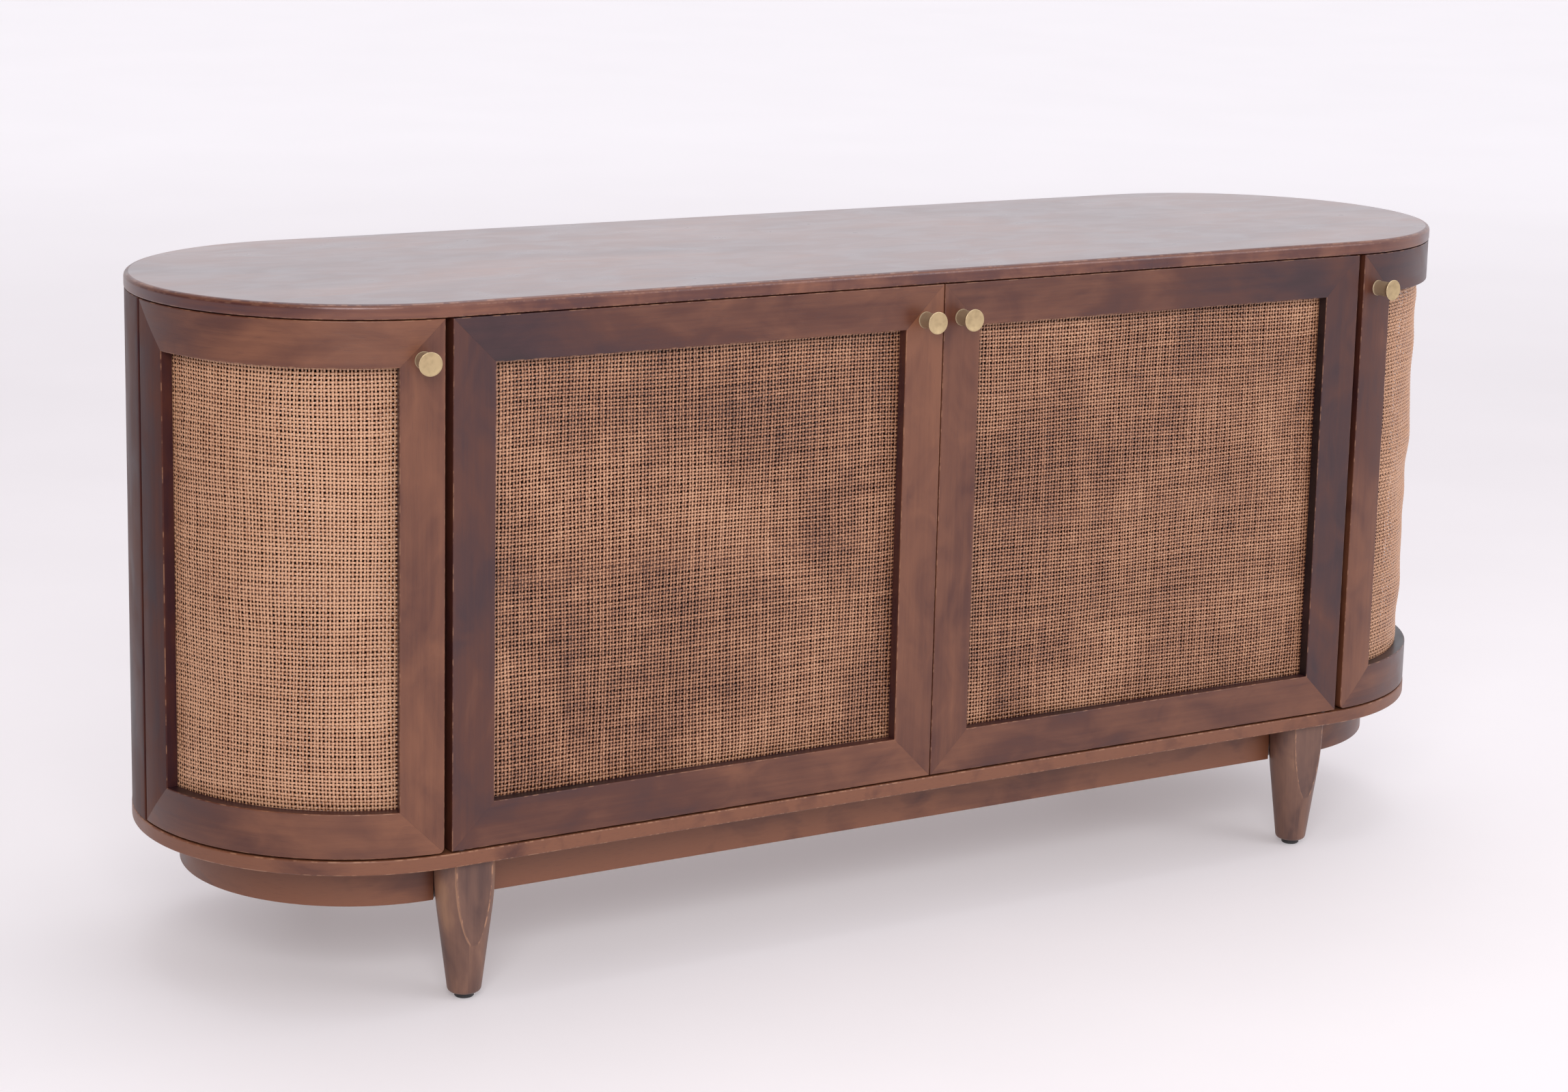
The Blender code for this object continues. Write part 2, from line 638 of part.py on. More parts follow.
def make_knob(name, place, hinge):
    """Trumpet knob with a flange, a dished face and a stud, and the cutter for the stud's hole."""
    curved = DOORS[name][1]
    level = DOOR_TOP - (END_KNOB_DROP if curved else KNOB_DROP)
    base = place(KNOB_INSET, 0.0, level)
    outward = (base - place(KNOB_INSET, DOOR_THICK, level)).normalized()
    rim_back = KNOB_REACH - KNOB_RIM_THICK
    flare_start = rim_back - KNOB_FLARE_LENGTH
    flange = KNOB_FLANGE_THICK + GAP
    profile = []
    for share in (0.0, 0.6):
        profile.append((KNOB_RADIUS * share, KNOB_REACH - KNOB_DISH_DEPTH * (1 - share**2)))
    profile += [(KNOB_RADIUS - 2 * KNOB_RIM_CHAMFER, KNOB_REACH), (KNOB_RADIUS, KNOB_REACH - KNOB_RIM_CHAMFER)]
    profile.append((KNOB_RADIUS, rim_back))
    for share in (0.75, 0.4, 0.0):
        radius = KNOB_STEM_RADIUS + (KNOB_RADIUS - KNOB_STEM_RADIUS) * share**2
        profile.append((radius, flare_start + KNOB_FLARE_LENGTH * share))
    profile += [(KNOB_STEM_RADIUS, flange), (KNOB_FLANGE_RADIUS, flange), (KNOB_FLANGE_RADIUS, GAP)]
    profile += [(KNOB_STUD_RADIUS, GAP), (KNOB_STUD_RADIUS, -KNOB_STUD_LENGTH), (0.0, -KNOB_STUD_LENGTH)]
    turned(f"{name}_knob", profile, 24, "aged_brass", base, hinge, outward)
    bm = bmesh.new()
    end = base - outward * (KNOB_STUD_LENGTH + GAP)
    rod(bm, end, base + outward * 4 * GAP, KNOB_STUD_RADIUS + GAP, FINE_SIDES)
    return add_cutter(f"{name}_stud_hole", bm, hinge)


def make_door(name):
    """One door with everything it carries, hung on an empty that stands on its hinge axis."""
    place, width, pivot = door_layout(name)
    hinge = new_empty(f"{name}_door_hinge", pivot, CABINET)
    pins = make_hinge_pins(name, pivot, hinge)
    stud = make_knob(name, place, hinge)
    rail_steps = DOOR_ARC_STEPS if DOORS[name][1] else 1
    cutters = {
        "free_stile": (stud,),
        "hinge_stile": (pins,),
        "top_rail": (stud, pins),
        "bottom_rail": (pins,),
    }
    make_frame(name, place, width, rail_steps, cutters, hinge)
    make_cane(name, place, width, rail_steps, hinge)
    make_bead_frame(name, place, width, rail_steps, hinge)


def make_catches():
    """Magnetic catches under the top: a double one for the middle doors, a single one at each end."""
    low = TOP_UNDERSIDE - GAP - CATCH_HEIGHT
    high = TOP_UNDERSIDE - GAP
    front = DOOR_THICK - FACE_RADIUS + CATCH_AIR
    bm = bmesh.new()
    box(bm, (-CATCH_INSET, front, low), (CATCH_INSET, front + CATCH_DEPTH, high))
    add_part("centre_catch", bm, "black_plastic")
    hollow = CATCH_LENGTH**2 / (8 * (FACE_RADIUS - DOOR_THICK))  # keeps the corners off a curved door
    depth = DOOR_THICK + hollow + CATCH_AIR + CATCH_DEPTH / 2
    half = Vector((CATCH_LENGTH / 2, CATCH_DEPTH / 2, CATCH_HEIGHT / 2))
    for name in ("left_end", "right_end"):
        side = DOORS[name][0]
        centre = door_layout(name)[0](CATCH_INSET, depth, (low + high) / 2)
        turn = side * (END_DOOR_START + CATCH_INSET) / FACE_RADIUS
        bm = bmesh.new()
        box(bm, centre - half, centre + half, turn)
        add_part(f"{name}_catch", bm, "black_plastic")


make_top()
make_bottom_board()
make_partitions()
make_side_panels()
make_back_panel()
make_shelves()
make_legs()
make_glides()
make_plinth()
make_catches()
for door in DOORS:
    make_door(door)
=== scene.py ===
# %% [markdown]
# # An oval sideboard with woven cane doors
#
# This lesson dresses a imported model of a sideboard: the solids already have the right sizes, places
# and hinges, and here they get fine surfaces, wood grain, woven cane, aged brass, light and a camera.
# Every new piece is a surface worked out with numpy, set into the frame that the solids give, and
# rides on the body that it belongs to, so that the doors still open.

# %% The frame and the tools
import json
import math

import bpy
import numpy as np
from mathutils import Matrix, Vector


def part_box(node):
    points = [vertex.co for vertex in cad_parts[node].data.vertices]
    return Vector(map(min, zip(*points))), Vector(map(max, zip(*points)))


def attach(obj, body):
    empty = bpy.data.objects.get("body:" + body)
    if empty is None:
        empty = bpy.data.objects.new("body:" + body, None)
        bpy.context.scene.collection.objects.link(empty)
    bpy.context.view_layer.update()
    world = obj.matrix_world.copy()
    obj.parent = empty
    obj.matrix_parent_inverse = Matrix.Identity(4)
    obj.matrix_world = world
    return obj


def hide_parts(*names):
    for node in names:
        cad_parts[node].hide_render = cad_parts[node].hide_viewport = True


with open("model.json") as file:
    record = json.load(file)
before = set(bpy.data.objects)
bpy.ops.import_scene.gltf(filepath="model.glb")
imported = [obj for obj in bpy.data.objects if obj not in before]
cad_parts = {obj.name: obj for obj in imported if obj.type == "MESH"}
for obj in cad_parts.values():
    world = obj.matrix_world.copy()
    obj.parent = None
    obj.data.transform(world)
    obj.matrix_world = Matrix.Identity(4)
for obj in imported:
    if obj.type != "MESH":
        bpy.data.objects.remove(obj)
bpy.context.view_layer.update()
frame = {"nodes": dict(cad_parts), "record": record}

# %% [markdown]
# ## Sizes
#
# The plan is a stadium: two half circles joined by straight runs.  Everything that follows is placed
# in its terms, so its radius, its middle and the half length of its straight part are read first,
# from the boxes round the solids.

# %% Read the driving sizes from the solids
top_low, top_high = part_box("top")
board_low, board_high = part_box("bottom_board")
wall_low, wall_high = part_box("back_panel")
stile_low, stile_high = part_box("centre_right_free_stile")
MIDDLE_Y = (top_low.y + top_high.y) / 2
END_RADIUS = (top_high.y - top_low.y) / 2
STRAIGHT = top_high.x - END_RADIUS
FACE_RADIUS = MIDDLE_Y - stile_low.y
DOOR_THICK = stile_high.y - stile_low.y
FRAME_WIDTH = stile_high.x - stile_low.x
DOOR_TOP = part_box("centre_right_top_rail")[1].z
DOOR_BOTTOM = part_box("centre_right_bottom_rail")[0].z
CANE_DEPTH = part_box("centre_right_cane")[0].y - stile_low.y
WALL_THICK = wall_high.y - wall_low.y
print(f"end radius {END_RADIUS:.4f}, straight half {STRAIGHT:.4f}")
print(f"doors from {DOOR_BOTTOM:.4f} to {DOOR_TOP:.4f}")

# %% [markdown]
# ## From arrays to pieces
#
# A piece starts as an array of points and a few arrays of faces.  One function turns them into an
# object: it finds out from the enclosed volume whether the faces point outwards, adds the attributes
# that the finishes read, and puts the piece on its body.

# %% Grids, faces and pieces
SMOOTH_ANGLE = 40


def grid_faces(rows, columns, loop_rows=False, loop_columns=False, start=0):
    """Quads between neighbours of a rows x columns grid of points, numbered row by row."""
    i = np.arange(rows if loop_rows else rows - 1)
    j = np.arange(columns if loop_columns else columns - 1)
    i, j = np.meshgrid(i, j, indexing="ij")
    after_i = (i + 1) % rows
    after_j = (j + 1) % columns
    corners = (i * columns + j, i * columns + after_j, after_i * columns + after_j, after_i * columns + j)
    return np.stack(corners, -1).reshape(-1, 4) + start


def enclosed_volume(points, groups):
    """Sum of the signed tetrahedra between the origin and each face, cut into a fan of triangles."""
    total = 0.0
    for faces in groups:
        for k in range(1, faces.shape[1] - 1):
            a, b, c = (points[faces[:, n]] for n in (0, k, k + 1))
            total += np.einsum("ij,ij->i", a, np.cross(b, c)).sum() / 6
    return total


def new_piece(name, points, groups, finish, body, replaced, slot, smooth=SMOOTH_ANGLE, **attributes):
    """An object from points (n x 3) and face groups, with point attributes of one or three numbers."""
    points = np.asarray(points, float).reshape(-1, 3)
    centred = points - points.mean(0)
    if enclosed_volume(centred, groups) < 0:
        groups = [faces[:, ::-1] for faces in groups]
    mesh = bpy.data.meshes.new(name)
    mesh.from_pydata(points.tolist(), [], [face for faces in groups for face in faces.tolist()])
    for key, values in attributes.items():
        values = np.asarray(values, np.float32)
        wide = values.ndim > 1 and values.shape[-1] == 3
        layer = mesh.attributes.new(key, "FLOAT_VECTOR" if wide else "FLOAT", "POINT")
        layer.data.foreach_set("vector" if wide else "value", values.reshape(-1))
    mesh.shade_smooth()
    mesh.set_sharp_from_angle(angle=math.radians(smooth))
    mesh.materials.append(finish)
    piece = bpy.data.objects.new(name, mesh)
    bpy.context.scene.collection.objects.link(piece)
    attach(piece, body)
    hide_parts(*replaced)
    return piece


# %% [markdown]
# ## The camera
#
# The camera stands in front and to the left, a little above the top, and tilts down.  It is placed by
# its azimuth, elevation, roll and distance from a point near the middle of the cabinet.

# %% Camera
CAMERA_AZIMUTH = math.radians(-31.120)
CAMERA_ELEVATION = math.radians(10.924)
CAMERA_ROLL = math.radians(1.289)
CAMERA_DISTANCE = 3.9573
CAMERA_AIM = np.array([-0.05768, 0.0, 0.57238])
LENS = 74.66
FRAME_SHIFT = -0.0821


def camera_axes(azimuth, elevation, roll):
    """Right, up and back directions: back comes from the two angles, then the roll turns the rest."""
    back = np.array([
        math.sin(azimuth) * math.cos(elevation),
        -math.cos(azimuth) * math.cos(elevation),
        math.sin(elevation),
    ])
    right = np.cross([0.0, 0.0, 1.0], back)
    right /= np.linalg.norm(right)
    down = np.cross(right, back)
    turned_right = math.cos(roll) * right - math.sin(roll) * down
    turned_down = math.sin(roll) * right + math.cos(roll) * down
    return turned_right, -turned_down, back


right, up, back = camera_axes(CAMERA_AZIMUTH, CAMERA_ELEVATION, CAMERA_ROLL)
camera_place = CAMERA_AIM + np.array([0.0, MIDDLE_Y, 0.0]) + back * CAMERA_DISTANCE
camera_data = bpy.data.cameras.new("camera")
camera_data.lens = LENS
camera_data.sensor_width = 36.0
camera_data.shift_y = FRAME_SHIFT
camera_data.clip_end = 100.0
camera = bpy.data.objects.new("camera", camera_data)
bpy.context.scene.collection.objects.link(camera)
camera.matrix_world = Matrix([
    [right[k], up[k], back[k], camera_place[k]] for k in range(3)
] + [[0, 0, 0, 1]])
bpy.context.scene.camera = camera
print("camera at", camera_place.round(3))

# %% [markdown]
# ## Light
#
# A pale room does most of the lighting; it falls off towards the left, which leaves the faces that look
# that way dark.  Soft panels stand in front, and give the lacquer its broad reflections, the cane its
# glints and the legs their crossed soft shadows.  The standard view transform keeps pale surfaces pale.

# %% World, panels and floor
scene = bpy.context.scene
scene.view_settings.view_transform = "Standard"
ROOM_COLOUR = (0.922, 0.896, 0.947, 1.0)
LEFT_COLOUR = (0.27, 0.20, 0.19, 1.0)
FALLOFF = (0.12, 0.62)
room = bpy.data.worlds.new("pale_room")
room.use_nodes = True
direction = room.node_tree.nodes.new("ShaderNodeTexCoord")
parts = room.node_tree.nodes.new("ShaderNodeSeparateXYZ")
falloff = room.node_tree.nodes.new("ShaderNodeValToRGB")
falloff.color_ramp.interpolation = "EASE"
for element, colour, position in zip(falloff.color_ramp.elements, (LEFT_COLOUR, ROOM_COLOUR), FALLOFF):
    element.color = colour
    element.position = position
half = room.node_tree.nodes.new("ShaderNodeMapRange")
half.inputs["From Min"].default_value = -1.0
room.node_tree.links.new(direction.outputs["Generated"], parts.inputs[0])
room.node_tree.links.new(parts.outputs["X"], half.inputs["Value"])
room.node_tree.links.new(half.outputs[0], falloff.inputs[0])
room.node_tree.links.new(falloff.outputs[0], room.node_tree.nodes["Background"].inputs["Color"])
scene.world = room

PANELS = {
    "panel_front": ((-2.3, -3.4, 2.5), (1.9, 1.6), 84),
    "panel_right": ((2.6, -3.4, 2.3), (2.0, 1.6), 30),
    "panel_over": ((0.3, 0.4, 3.4), (3.2, 2.0), 30),
}


def soft_panel(name, place, size, watts):
    """A rectangular light that faces the cabinet's middle."""
    data = bpy.data.lights.new(name, "AREA")
    data.shape = "RECTANGLE"
    data.size, data.size_y = size
    data.energy = watts
    light = bpy.data.objects.new(name, data)
    scene.collection.objects.link(light)
    away = np.array(place) - [0.0, 0.0, 0.4]
    away /= np.linalg.norm(away)
    side = np.cross([0.0, 1.0, 0.0] if abs(away[2]) > 0.95 else [0.0, 0.0, 1.0], away)
    side /= np.linalg.norm(side)
    rise = np.cross(away, side)
    light.matrix_world = Matrix([
        [side[k], rise[k], away[k], place[k]] for k in range(3)
    ] + [[0, 0, 0, 1]])


for name, (place, size, watts) in PANELS.items():
    soft_panel(name, place, size, watts)
print("soft panels:", len(PANELS))

# %% [markdown]
# ## Node expressions
#
# Materials are written as sums.  `Value` wraps one socket, and arithmetic on it adds Math nodes; every
# other node comes from `Finish.node`, which takes the node's type, its settings and its inputs.

# %% The two small classes behind every finish


class Value:
    """One output socket of a finish, which can be added to, taken away from and multiplied."""

    def __init__(self, finish, socket):
        self.finish = finish
        self.socket = socket

    def math(self, operation, first, second):
        return self.finish.node("ShaderNodeMath", {"operation": operation}, {0: first, 1: second})

    def __add__(self, other):
        return self.math("ADD", self, other)

    def __sub__(self, other):
        return self.math("SUBTRACT", self, other)

    def __mul__(self, other):
        return self.math("MULTIPLY", self, other)


class Finish:
    """A material and the nodes that feed its Principled shader."""

    def __init__(self, name, roughness=0.5, **settings):
        self.material = bpy.data.materials.new(name)
        self.material.use_nodes = True
        self.nodes = self.material.node_tree.nodes
        self.links = self.material.node_tree.links
        self.shader = self.nodes["Principled BSDF"]
        self.shader.inputs["Roughness"].default_value = roughness
        for key, value in settings.items():
            self.shader.inputs[key.replace("_", " ")].default_value = value

    def feed(self, socket, value):
        if isinstance(value, Value):
            self.links.new(value.socket, socket)
        else:
            socket.default_value = value

    def node(self, kind, settings, inputs, output=0):
        """Any node: settings first, with a ramp's stops as (place, colour) pairs, then its inputs."""
        made = self.nodes.new(kind)
        for key, value in settings.items():
            if key == "stops":
                elements = made.color_ramp.elements
                while len(elements) < len(value):
                    elements.new(1.0)
                for element, (place, colour) in zip(elements, value):
                    element.position = place
                    element.color = (*colour, 1.0)
            else:
                setattr(made, key, value)
        for key, value in inputs.items():
            self.feed(made.inputs[key], value)
        return Value(self, made.outputs[output])

    def attribute(self, name, output="Fac"):
        return self.node("ShaderNodeAttribute", {"attribute_name": name}, {}, output)

    def places(self):
        return self.node("ShaderNodeTexCoord", {}, {}, "Object")

    def stretched(self, vector, amounts):
        """The vector with each of its three numbers multiplied."""
        return self.node("ShaderNodeVectorMath", {"operation": "MULTIPLY"}, {0: vector, 1: amounts})

    def numbers(self, vector):
        """The three numbers of a vector, each as a value of its own."""
        split = self.node("ShaderNodeSeparateXYZ", {}, {0: vector})
        return [Value(self, socket) for socket in split.socket.node.outputs]

    def noise(self, vector, scale=1.0, detail=2.0, roughness=0.5, distortion=0.0):
        inputs = {"Vector": vector, "Scale": scale, "Detail": detail}
        inputs.update({"Roughness": roughness, "Distortion": distortion})
        return self.node("ShaderNodeTexNoise", {}, inputs)

    def band(self, value, low, high, to_low=0.0, to_high=1.0):
        """A smooth step that climbs from to_low to to_high while the value goes from low to high."""
        inputs = {"Value": value, 1: low, 2: high, 3: to_low, 4: to_high}
        return self.node("ShaderNodeMapRange", {"interpolation_type": "SMOOTHSTEP"}, inputs)

    def ramp(self, value, stops):
        return self.node("ShaderNodeValToRGB", {"stops": stops}, {0: value})

    def mix(self, share, first, second):
        """Two colours mixed: share 0 gives the first and 1 the second."""
        first, second = (c if isinstance(c, Value) else (*c, 1.0) for c in (first, second))
        return self.node("ShaderNodeMix", {"data_type": "RGBA"}, {0: share, 6: first, 7: second}, 2)

    def relief(self, height, distance, strength=1.0):
        inputs = {"Height": height, "Distance": distance, "Strength": strength}
        self.feed(self.shader.inputs["Normal"], self.node("ShaderNodeBump", {}, inputs))

    def set(self, **values):
        for key, value in values.items():
            self.feed(self.shader.inputs[key.replace("_", " ")], value)


# %% [markdown]
# ## The floor
#
# A plain pale floor runs under the cabinet and far behind it.  It glows a little though it is no lamp:
# painted light that lifts the shadow under the cabinet, and glows more far away, where it has to meet
# the room's own tone.

# %% Floor
FLOOR_REACH = 70.0
floor_finish = Finish("pale_floor", roughness=0.6, Specular_IOR_Level=0.2, Emission_Strength=1.0)
FLOOR_TONES = [(0.3, (0.665, 0.645, 0.658)), (0.7, (0.695, 0.675, 0.688))]
# The floor's glow is painted light: near the cabinet it lifts the shade, far away it meets the room.
NEAR_GLOW = (0.240, 0.232, 0.240)
FAR_GLOW = (0.430, 0.430, 0.450)
floor_places = floor_finish.places()
mottle = floor_finish.noise(floor_places, scale=1.6, detail=4)
from_middle = floor_finish.node("ShaderNodeVectorMath", {"operation": "LENGTH"}, {0: floor_places}, 1)
far_away = floor_finish.band(from_middle, 1.5, 9.0)
floor_finish.set(Base_Color=floor_finish.ramp(mottle, FLOOR_TONES),
                 Emission_Color=floor_finish.mix(far_away, NEAR_GLOW, FAR_GLOW))
floor_mesh = bpy.data.meshes.new("floor")
r = FLOOR_REACH
floor_mesh.from_pydata([(-r, -r, 0), (r, -r, 0), (r, r, 0), (-r, r, 0)], [], [(0, 1, 2, 3)])
floor_mesh.materials.append(floor_finish.material)
floor = bpy.data.objects.new("floor", floor_mesh)
scene.collection.objects.link(floor)
print("floor reaches", FLOOR_REACH)

# %% [markdown]
# ## Stained and lacquered wood
#
# The wood is dark red-brown, clouded from purple-brown to warm orange-brown where the stain took
# unevenly, with fine fibre along each board and stain rubbed off the sharp edges.  Four attributes
# carry what the finish needs: `grain` is the distance along the board, across it, and a seed; `tone`
# makes a place warmer or darker; `edge` is 1 on the rounded edges; `upward` is 1 on a board's upper
# face, which takes the whole coat of lacquer, and less on the rest of it.

# %% Wood finishes
NEARLY_BLACK = (0.010, 0.005, 0.007)
PURPLE_BROWN = (0.041, 0.0140, 0.0165)
RED_BROWN = (0.086, 0.0250, 0.0145)
ORANGE_BROWN = (0.190, 0.070, 0.034)
RUBBED = (0.44, 0.23, 0.13)
WHITE = (1.0, 1.0, 1.0)
ROSE_TINT = (1.0, 0.82, 0.90)


def wood_finish(name, stops, roughness=0.36, rubbed=0.5, fibre=0.2, coat=0.0, gloss=0.5, mottle=1.0,
                tint=WHITE):
    """Soft clouds pick the colour, fibres darken it in thin lines, rubbed edges go pale in patches."""
    wood = Finish(name, roughness, Specular_IOR_Level=gloss, Specular_Tint=(*tint, 1.0),
                  Coat_IOR=1.6, Coat_Roughness=0.32)
    grain = wood.attribute("grain", "Vector")
    edge = wood.attribute("edge")
    tone = wood.attribute("tone")
    clouds = wood.noise(wood.stretched(grain, (3.4, 7.0, 1.0)), detail=2.0, distortion=0.8)
    patches = wood.noise(wood.stretched(grain, (13.0, 24.0, 1.0)), detail=3.0, distortion=0.9)
    lines = wood.noise(wood.stretched(grain, (5.0, 150.0, 1.0)), detail=4.0, roughness=0.6)
    pores = wood.noise(wood.stretched(grain, (60.0, 1400.0, 1.0)), detail=1.0)
    clouded = (clouds - 0.5) * 0.62 + (patches - 0.5) * 0.40
    colour = wood.ramp(clouded * mottle + (lines - 0.5) * fibre + tone * 0.2 + 0.5, stops)
    pore_mask = wood.band(pores, 0.60, 0.74)
    colour = wood.mix(pore_mask * 0.22, colour, PURPLE_BROWN)
    rub = wood.noise(wood.stretched(grain, (90.0, 90.0, 1.0)), detail=3.0)
    worn = edge * wood.band(rub, 0.48, 0.62) * rubbed
    colour = wood.mix(worn, colour, RUBBED)
    wood.set(Base_Color=colour,
             Roughness=wood.band(patches, 0.25, 0.75, roughness - 0.05, roughness + 0.06))
    if coat:
        wood.set(Coat_Weight=wood.attribute("upward") * coat)
    wood.relief(lines * 0.4 - pore_mask, 0.00008, 0.4)
    return wood.material


CASE_STOPS = [(0.05, NEARLY_BLACK), (0.28, PURPLE_BROWN), (0.50, RED_BROWN), (0.76, ORANGE_BROWN)]
LEG_STOPS = [(0.22, (0.090, 0.043, 0.034)), (0.5, (0.185, 0.092, 0.062)), (0.76, (0.34, 0.180, 0.100))]
INNER_STOPS = [(0.3, (0.105, 0.040, 0.024)), (0.5, (0.16, 0.066, 0.038)), (0.7, (0.22, 0.100, 0.060))]
case_wood = wood_finish("case_wood", CASE_STOPS)
top_wood = wood_finish("top_wood", CASE_STOPS, roughness=0.32, rubbed=0.35, fibre=0.42, coat=1.0,
                       tint=ROSE_TINT)
side_wood = wood_finish("side_wood", CASE_STOPS, roughness=0.42, gloss=0.16)
rail_wood = wood_finish("rail_wood", CASE_STOPS, roughness=0.40, rubbed=0.6, mottle=1.7)
leg_wood = wood_finish("leg_wood", LEG_STOPS, roughness=0.45, rubbed=1.0, mottle=1.9)
inner_wood = wood_finish("inner_wood", INNER_STOPS, roughness=0.5, rubbed=0.2)
print("wood finishes:", sum(material.name.endswith("_wood") for material in bpy.data.materials))

# %% [markdown]
# ## Boards
#
# The top, the bottom board, the shelves and the walls are all boards cut to an outline.  Each is one
# band of rings: under the board, round the lower edge, up the side, round the upper edge and over the
# top.  The two flats close it.

# %% Outlines
ARC_STEPS = 72
EASE_STEPS = 4


def end_arc(radius, start, end, steps=ARC_STEPS, side=1):
    """Points round one end; the angle runs from the front (0) over the end (90) to the back (180)."""
    angle = np.radians(np.linspace(start, end, steps + 1))
    return np.stack([side * (STRAIGHT + radius * np.sin(angle)), MIDDLE_Y - radius * np.cos(angle)], -1)


def stadium(radius):
    """Both half-round ends, anticlockwise from the front right."""
    return np.concatenate([end_arc(radius, 0, 180), end_arc(radius, 180, 0, side=-1)])


def rounded_box(low, high, corner, runs=(1, 1)):
    """An anticlockwise rectangle in any two coordinates, with quarter-round corners and split sides."""
    turn = np.radians(np.linspace(0, 90, EASE_STEPS + 1))
    centres = ((high[0] - corner, low[1] + corner), (high[0] - corner, high[1] - corner))
    centres += ((low[0] + corner, high[1] - corner), (low[0] + corner, low[1] + corner))
    points = []
    for k, centre in enumerate(centres):
        angle = turn + math.radians(90 * (k - 1))
        arc = np.array(centre) + corner * np.stack([np.cos(angle), np.sin(angle)], -1)
        following = np.array(centres[(k + 1) % 4])
        next_angle = math.radians(90 * k)
        target = following + corner * np.array([math.cos(next_angle), math.sin(next_angle)])
        steps = runs[(k + 1) % 2]
        share = np.linspace(0, 1, steps + 1)[1:-1, None]
        points += [arc, arc[-1] + (target - arc[-1]) * share]
    return np.concatenate(points)


def inward(outline):
    """For each point, the step that moves both of its edges in by one unit: the mitre direction."""
    ahead = np.roll(outline, -1, 0) - outline
    ahead /= np.linalg.norm(ahead, axis=1)[:, None]
    behind = np.roll(ahead, 1, 0)
    normal = np.stack([-ahead[:, 1], ahead[:, 0]], -1)
    before = np.stack([-behind[:, 1], behind[:, 0]], -1)
    return (normal + before) / (1 + (normal * before).sum(1))[:, None]


# %% Boards from outlines
SUPPORT = 0.0006
SIDE_COAT = 0.3


def rounded_edge(ease):
    """Rows of (inset, rise, wear) from a flat out over its rounded edge to the upright side."""
    turn = np.radians(np.linspace(0, 90, EASE_STEPS + 1))
    arc = np.stack([ease * (1 - np.sin(turn)), ease * (1 - np.cos(turn)), np.sin(2 * turn)], -1)
    return np.concatenate([[(ease + SUPPORT, 0, 0)], arc, [(0, ease + SUPPORT, 0)]])


def board(name, outline, low, high, eases, finish, replaced, slot,
          tone=0.0, seed=0.0, turn=0, tones=None):
    """Rings of an outline, each inset and raised along a rounded section, closed by two flats.

    `eases` are the radii of the lower and the upper edge.  The grain runs along X on the flats (along Z
    where turn is 1) and along the outline on the side.
    """
    lower, upper = (rounded_edge(ease) for ease in eases)
    inset = np.concatenate([lower[:, 0], upper[::-1, 0]])
    height = np.concatenate([low + lower[:, 1], high - upper[::-1, 1]])
    wear = np.concatenate([lower[:, 2], upper[::-1, 2]])
    rings, count = len(inset), len(outline)
    flat = outline[None] + inset[:, None, None] * inward(outline)[None]
    points = np.concatenate([flat, np.broadcast_to(height[:, None, None], (rings, count, 1))], -1)
    step = np.linalg.norm(np.roll(outline, -1, 0) - outline, axis=1)
    run = np.broadcast_to(np.cumsum(step) - step, (rings, count))
    on_side = (inset < min(eases) * 0.7)[:, None]
    along = np.where(on_side, run, points[..., 0]) if not turn else points[..., 2]
    across = np.where(on_side, points[..., 2], points[..., 1]) if not turn else run
    grain = np.stack([along, across, np.full((rings, count), seed)], -1)
    tone_field = np.full((rings, count), tone) if tones is None else tone + tones(points)
    edge = np.broadcast_to(wear[:, None], (rings, count))
    ring = np.arange(count)
    caps = np.stack([ring[::-1], ring + (rings - 1) * count])
    groups = [grid_faces(rings, count, loop_columns=True), caps]
    body = next(b for b, nodes in frame["record"]["behaviour"]["bodies"].items() if replaced[0] in nodes)
    coated = np.where(np.arange(rings) == rings - 1, 1.0, SIDE_COAT)
    upward = np.broadcast_to(coated[:, None], (rings, count))
    made = new_piece(name, points, groups, finish, body, replaced, slot, grain=grain.reshape(-1, 3),
                     tone=tone_field.reshape(-1), edge=edge.reshape(-1), upward=upward.reshape(-1))
    print(name, len(made.data.vertices), "points")
    return made


# %% Top and bottom board
TOP_EASES = (0.0018, 0.0050)
BOARD_EASES = (0.0018, 0.0018)


def edge_tones(points):
    """The top's side and its rounding are warmer than its face, most of all in the middle."""
    return (points[..., 2] < top_high.z - 0.0002) * (0.9 - 1.2 * np.abs(points[..., 0]))


board("top_board", stadium(END_RADIUS), top_low.z, top_high.z, TOP_EASES, top_wood, ["top"],
      "stained_wood", tone=0.25, seed=3.1, tones=edge_tones)
board("base_board", stadium(END_RADIUS), board_low.z, board_high.z, BOARD_EASES, rail_wood,
      ["bottom_board"], "stained_wood", tone=0.9, seed=8.4, tones=lambda points: 1.4 * points[..., 0] ** 2)

# %% [markdown]
# The side walls are quarter rings.  Their outline is a rounded rectangle in (arc angle, radius),
# bent round the end of the cabinet.

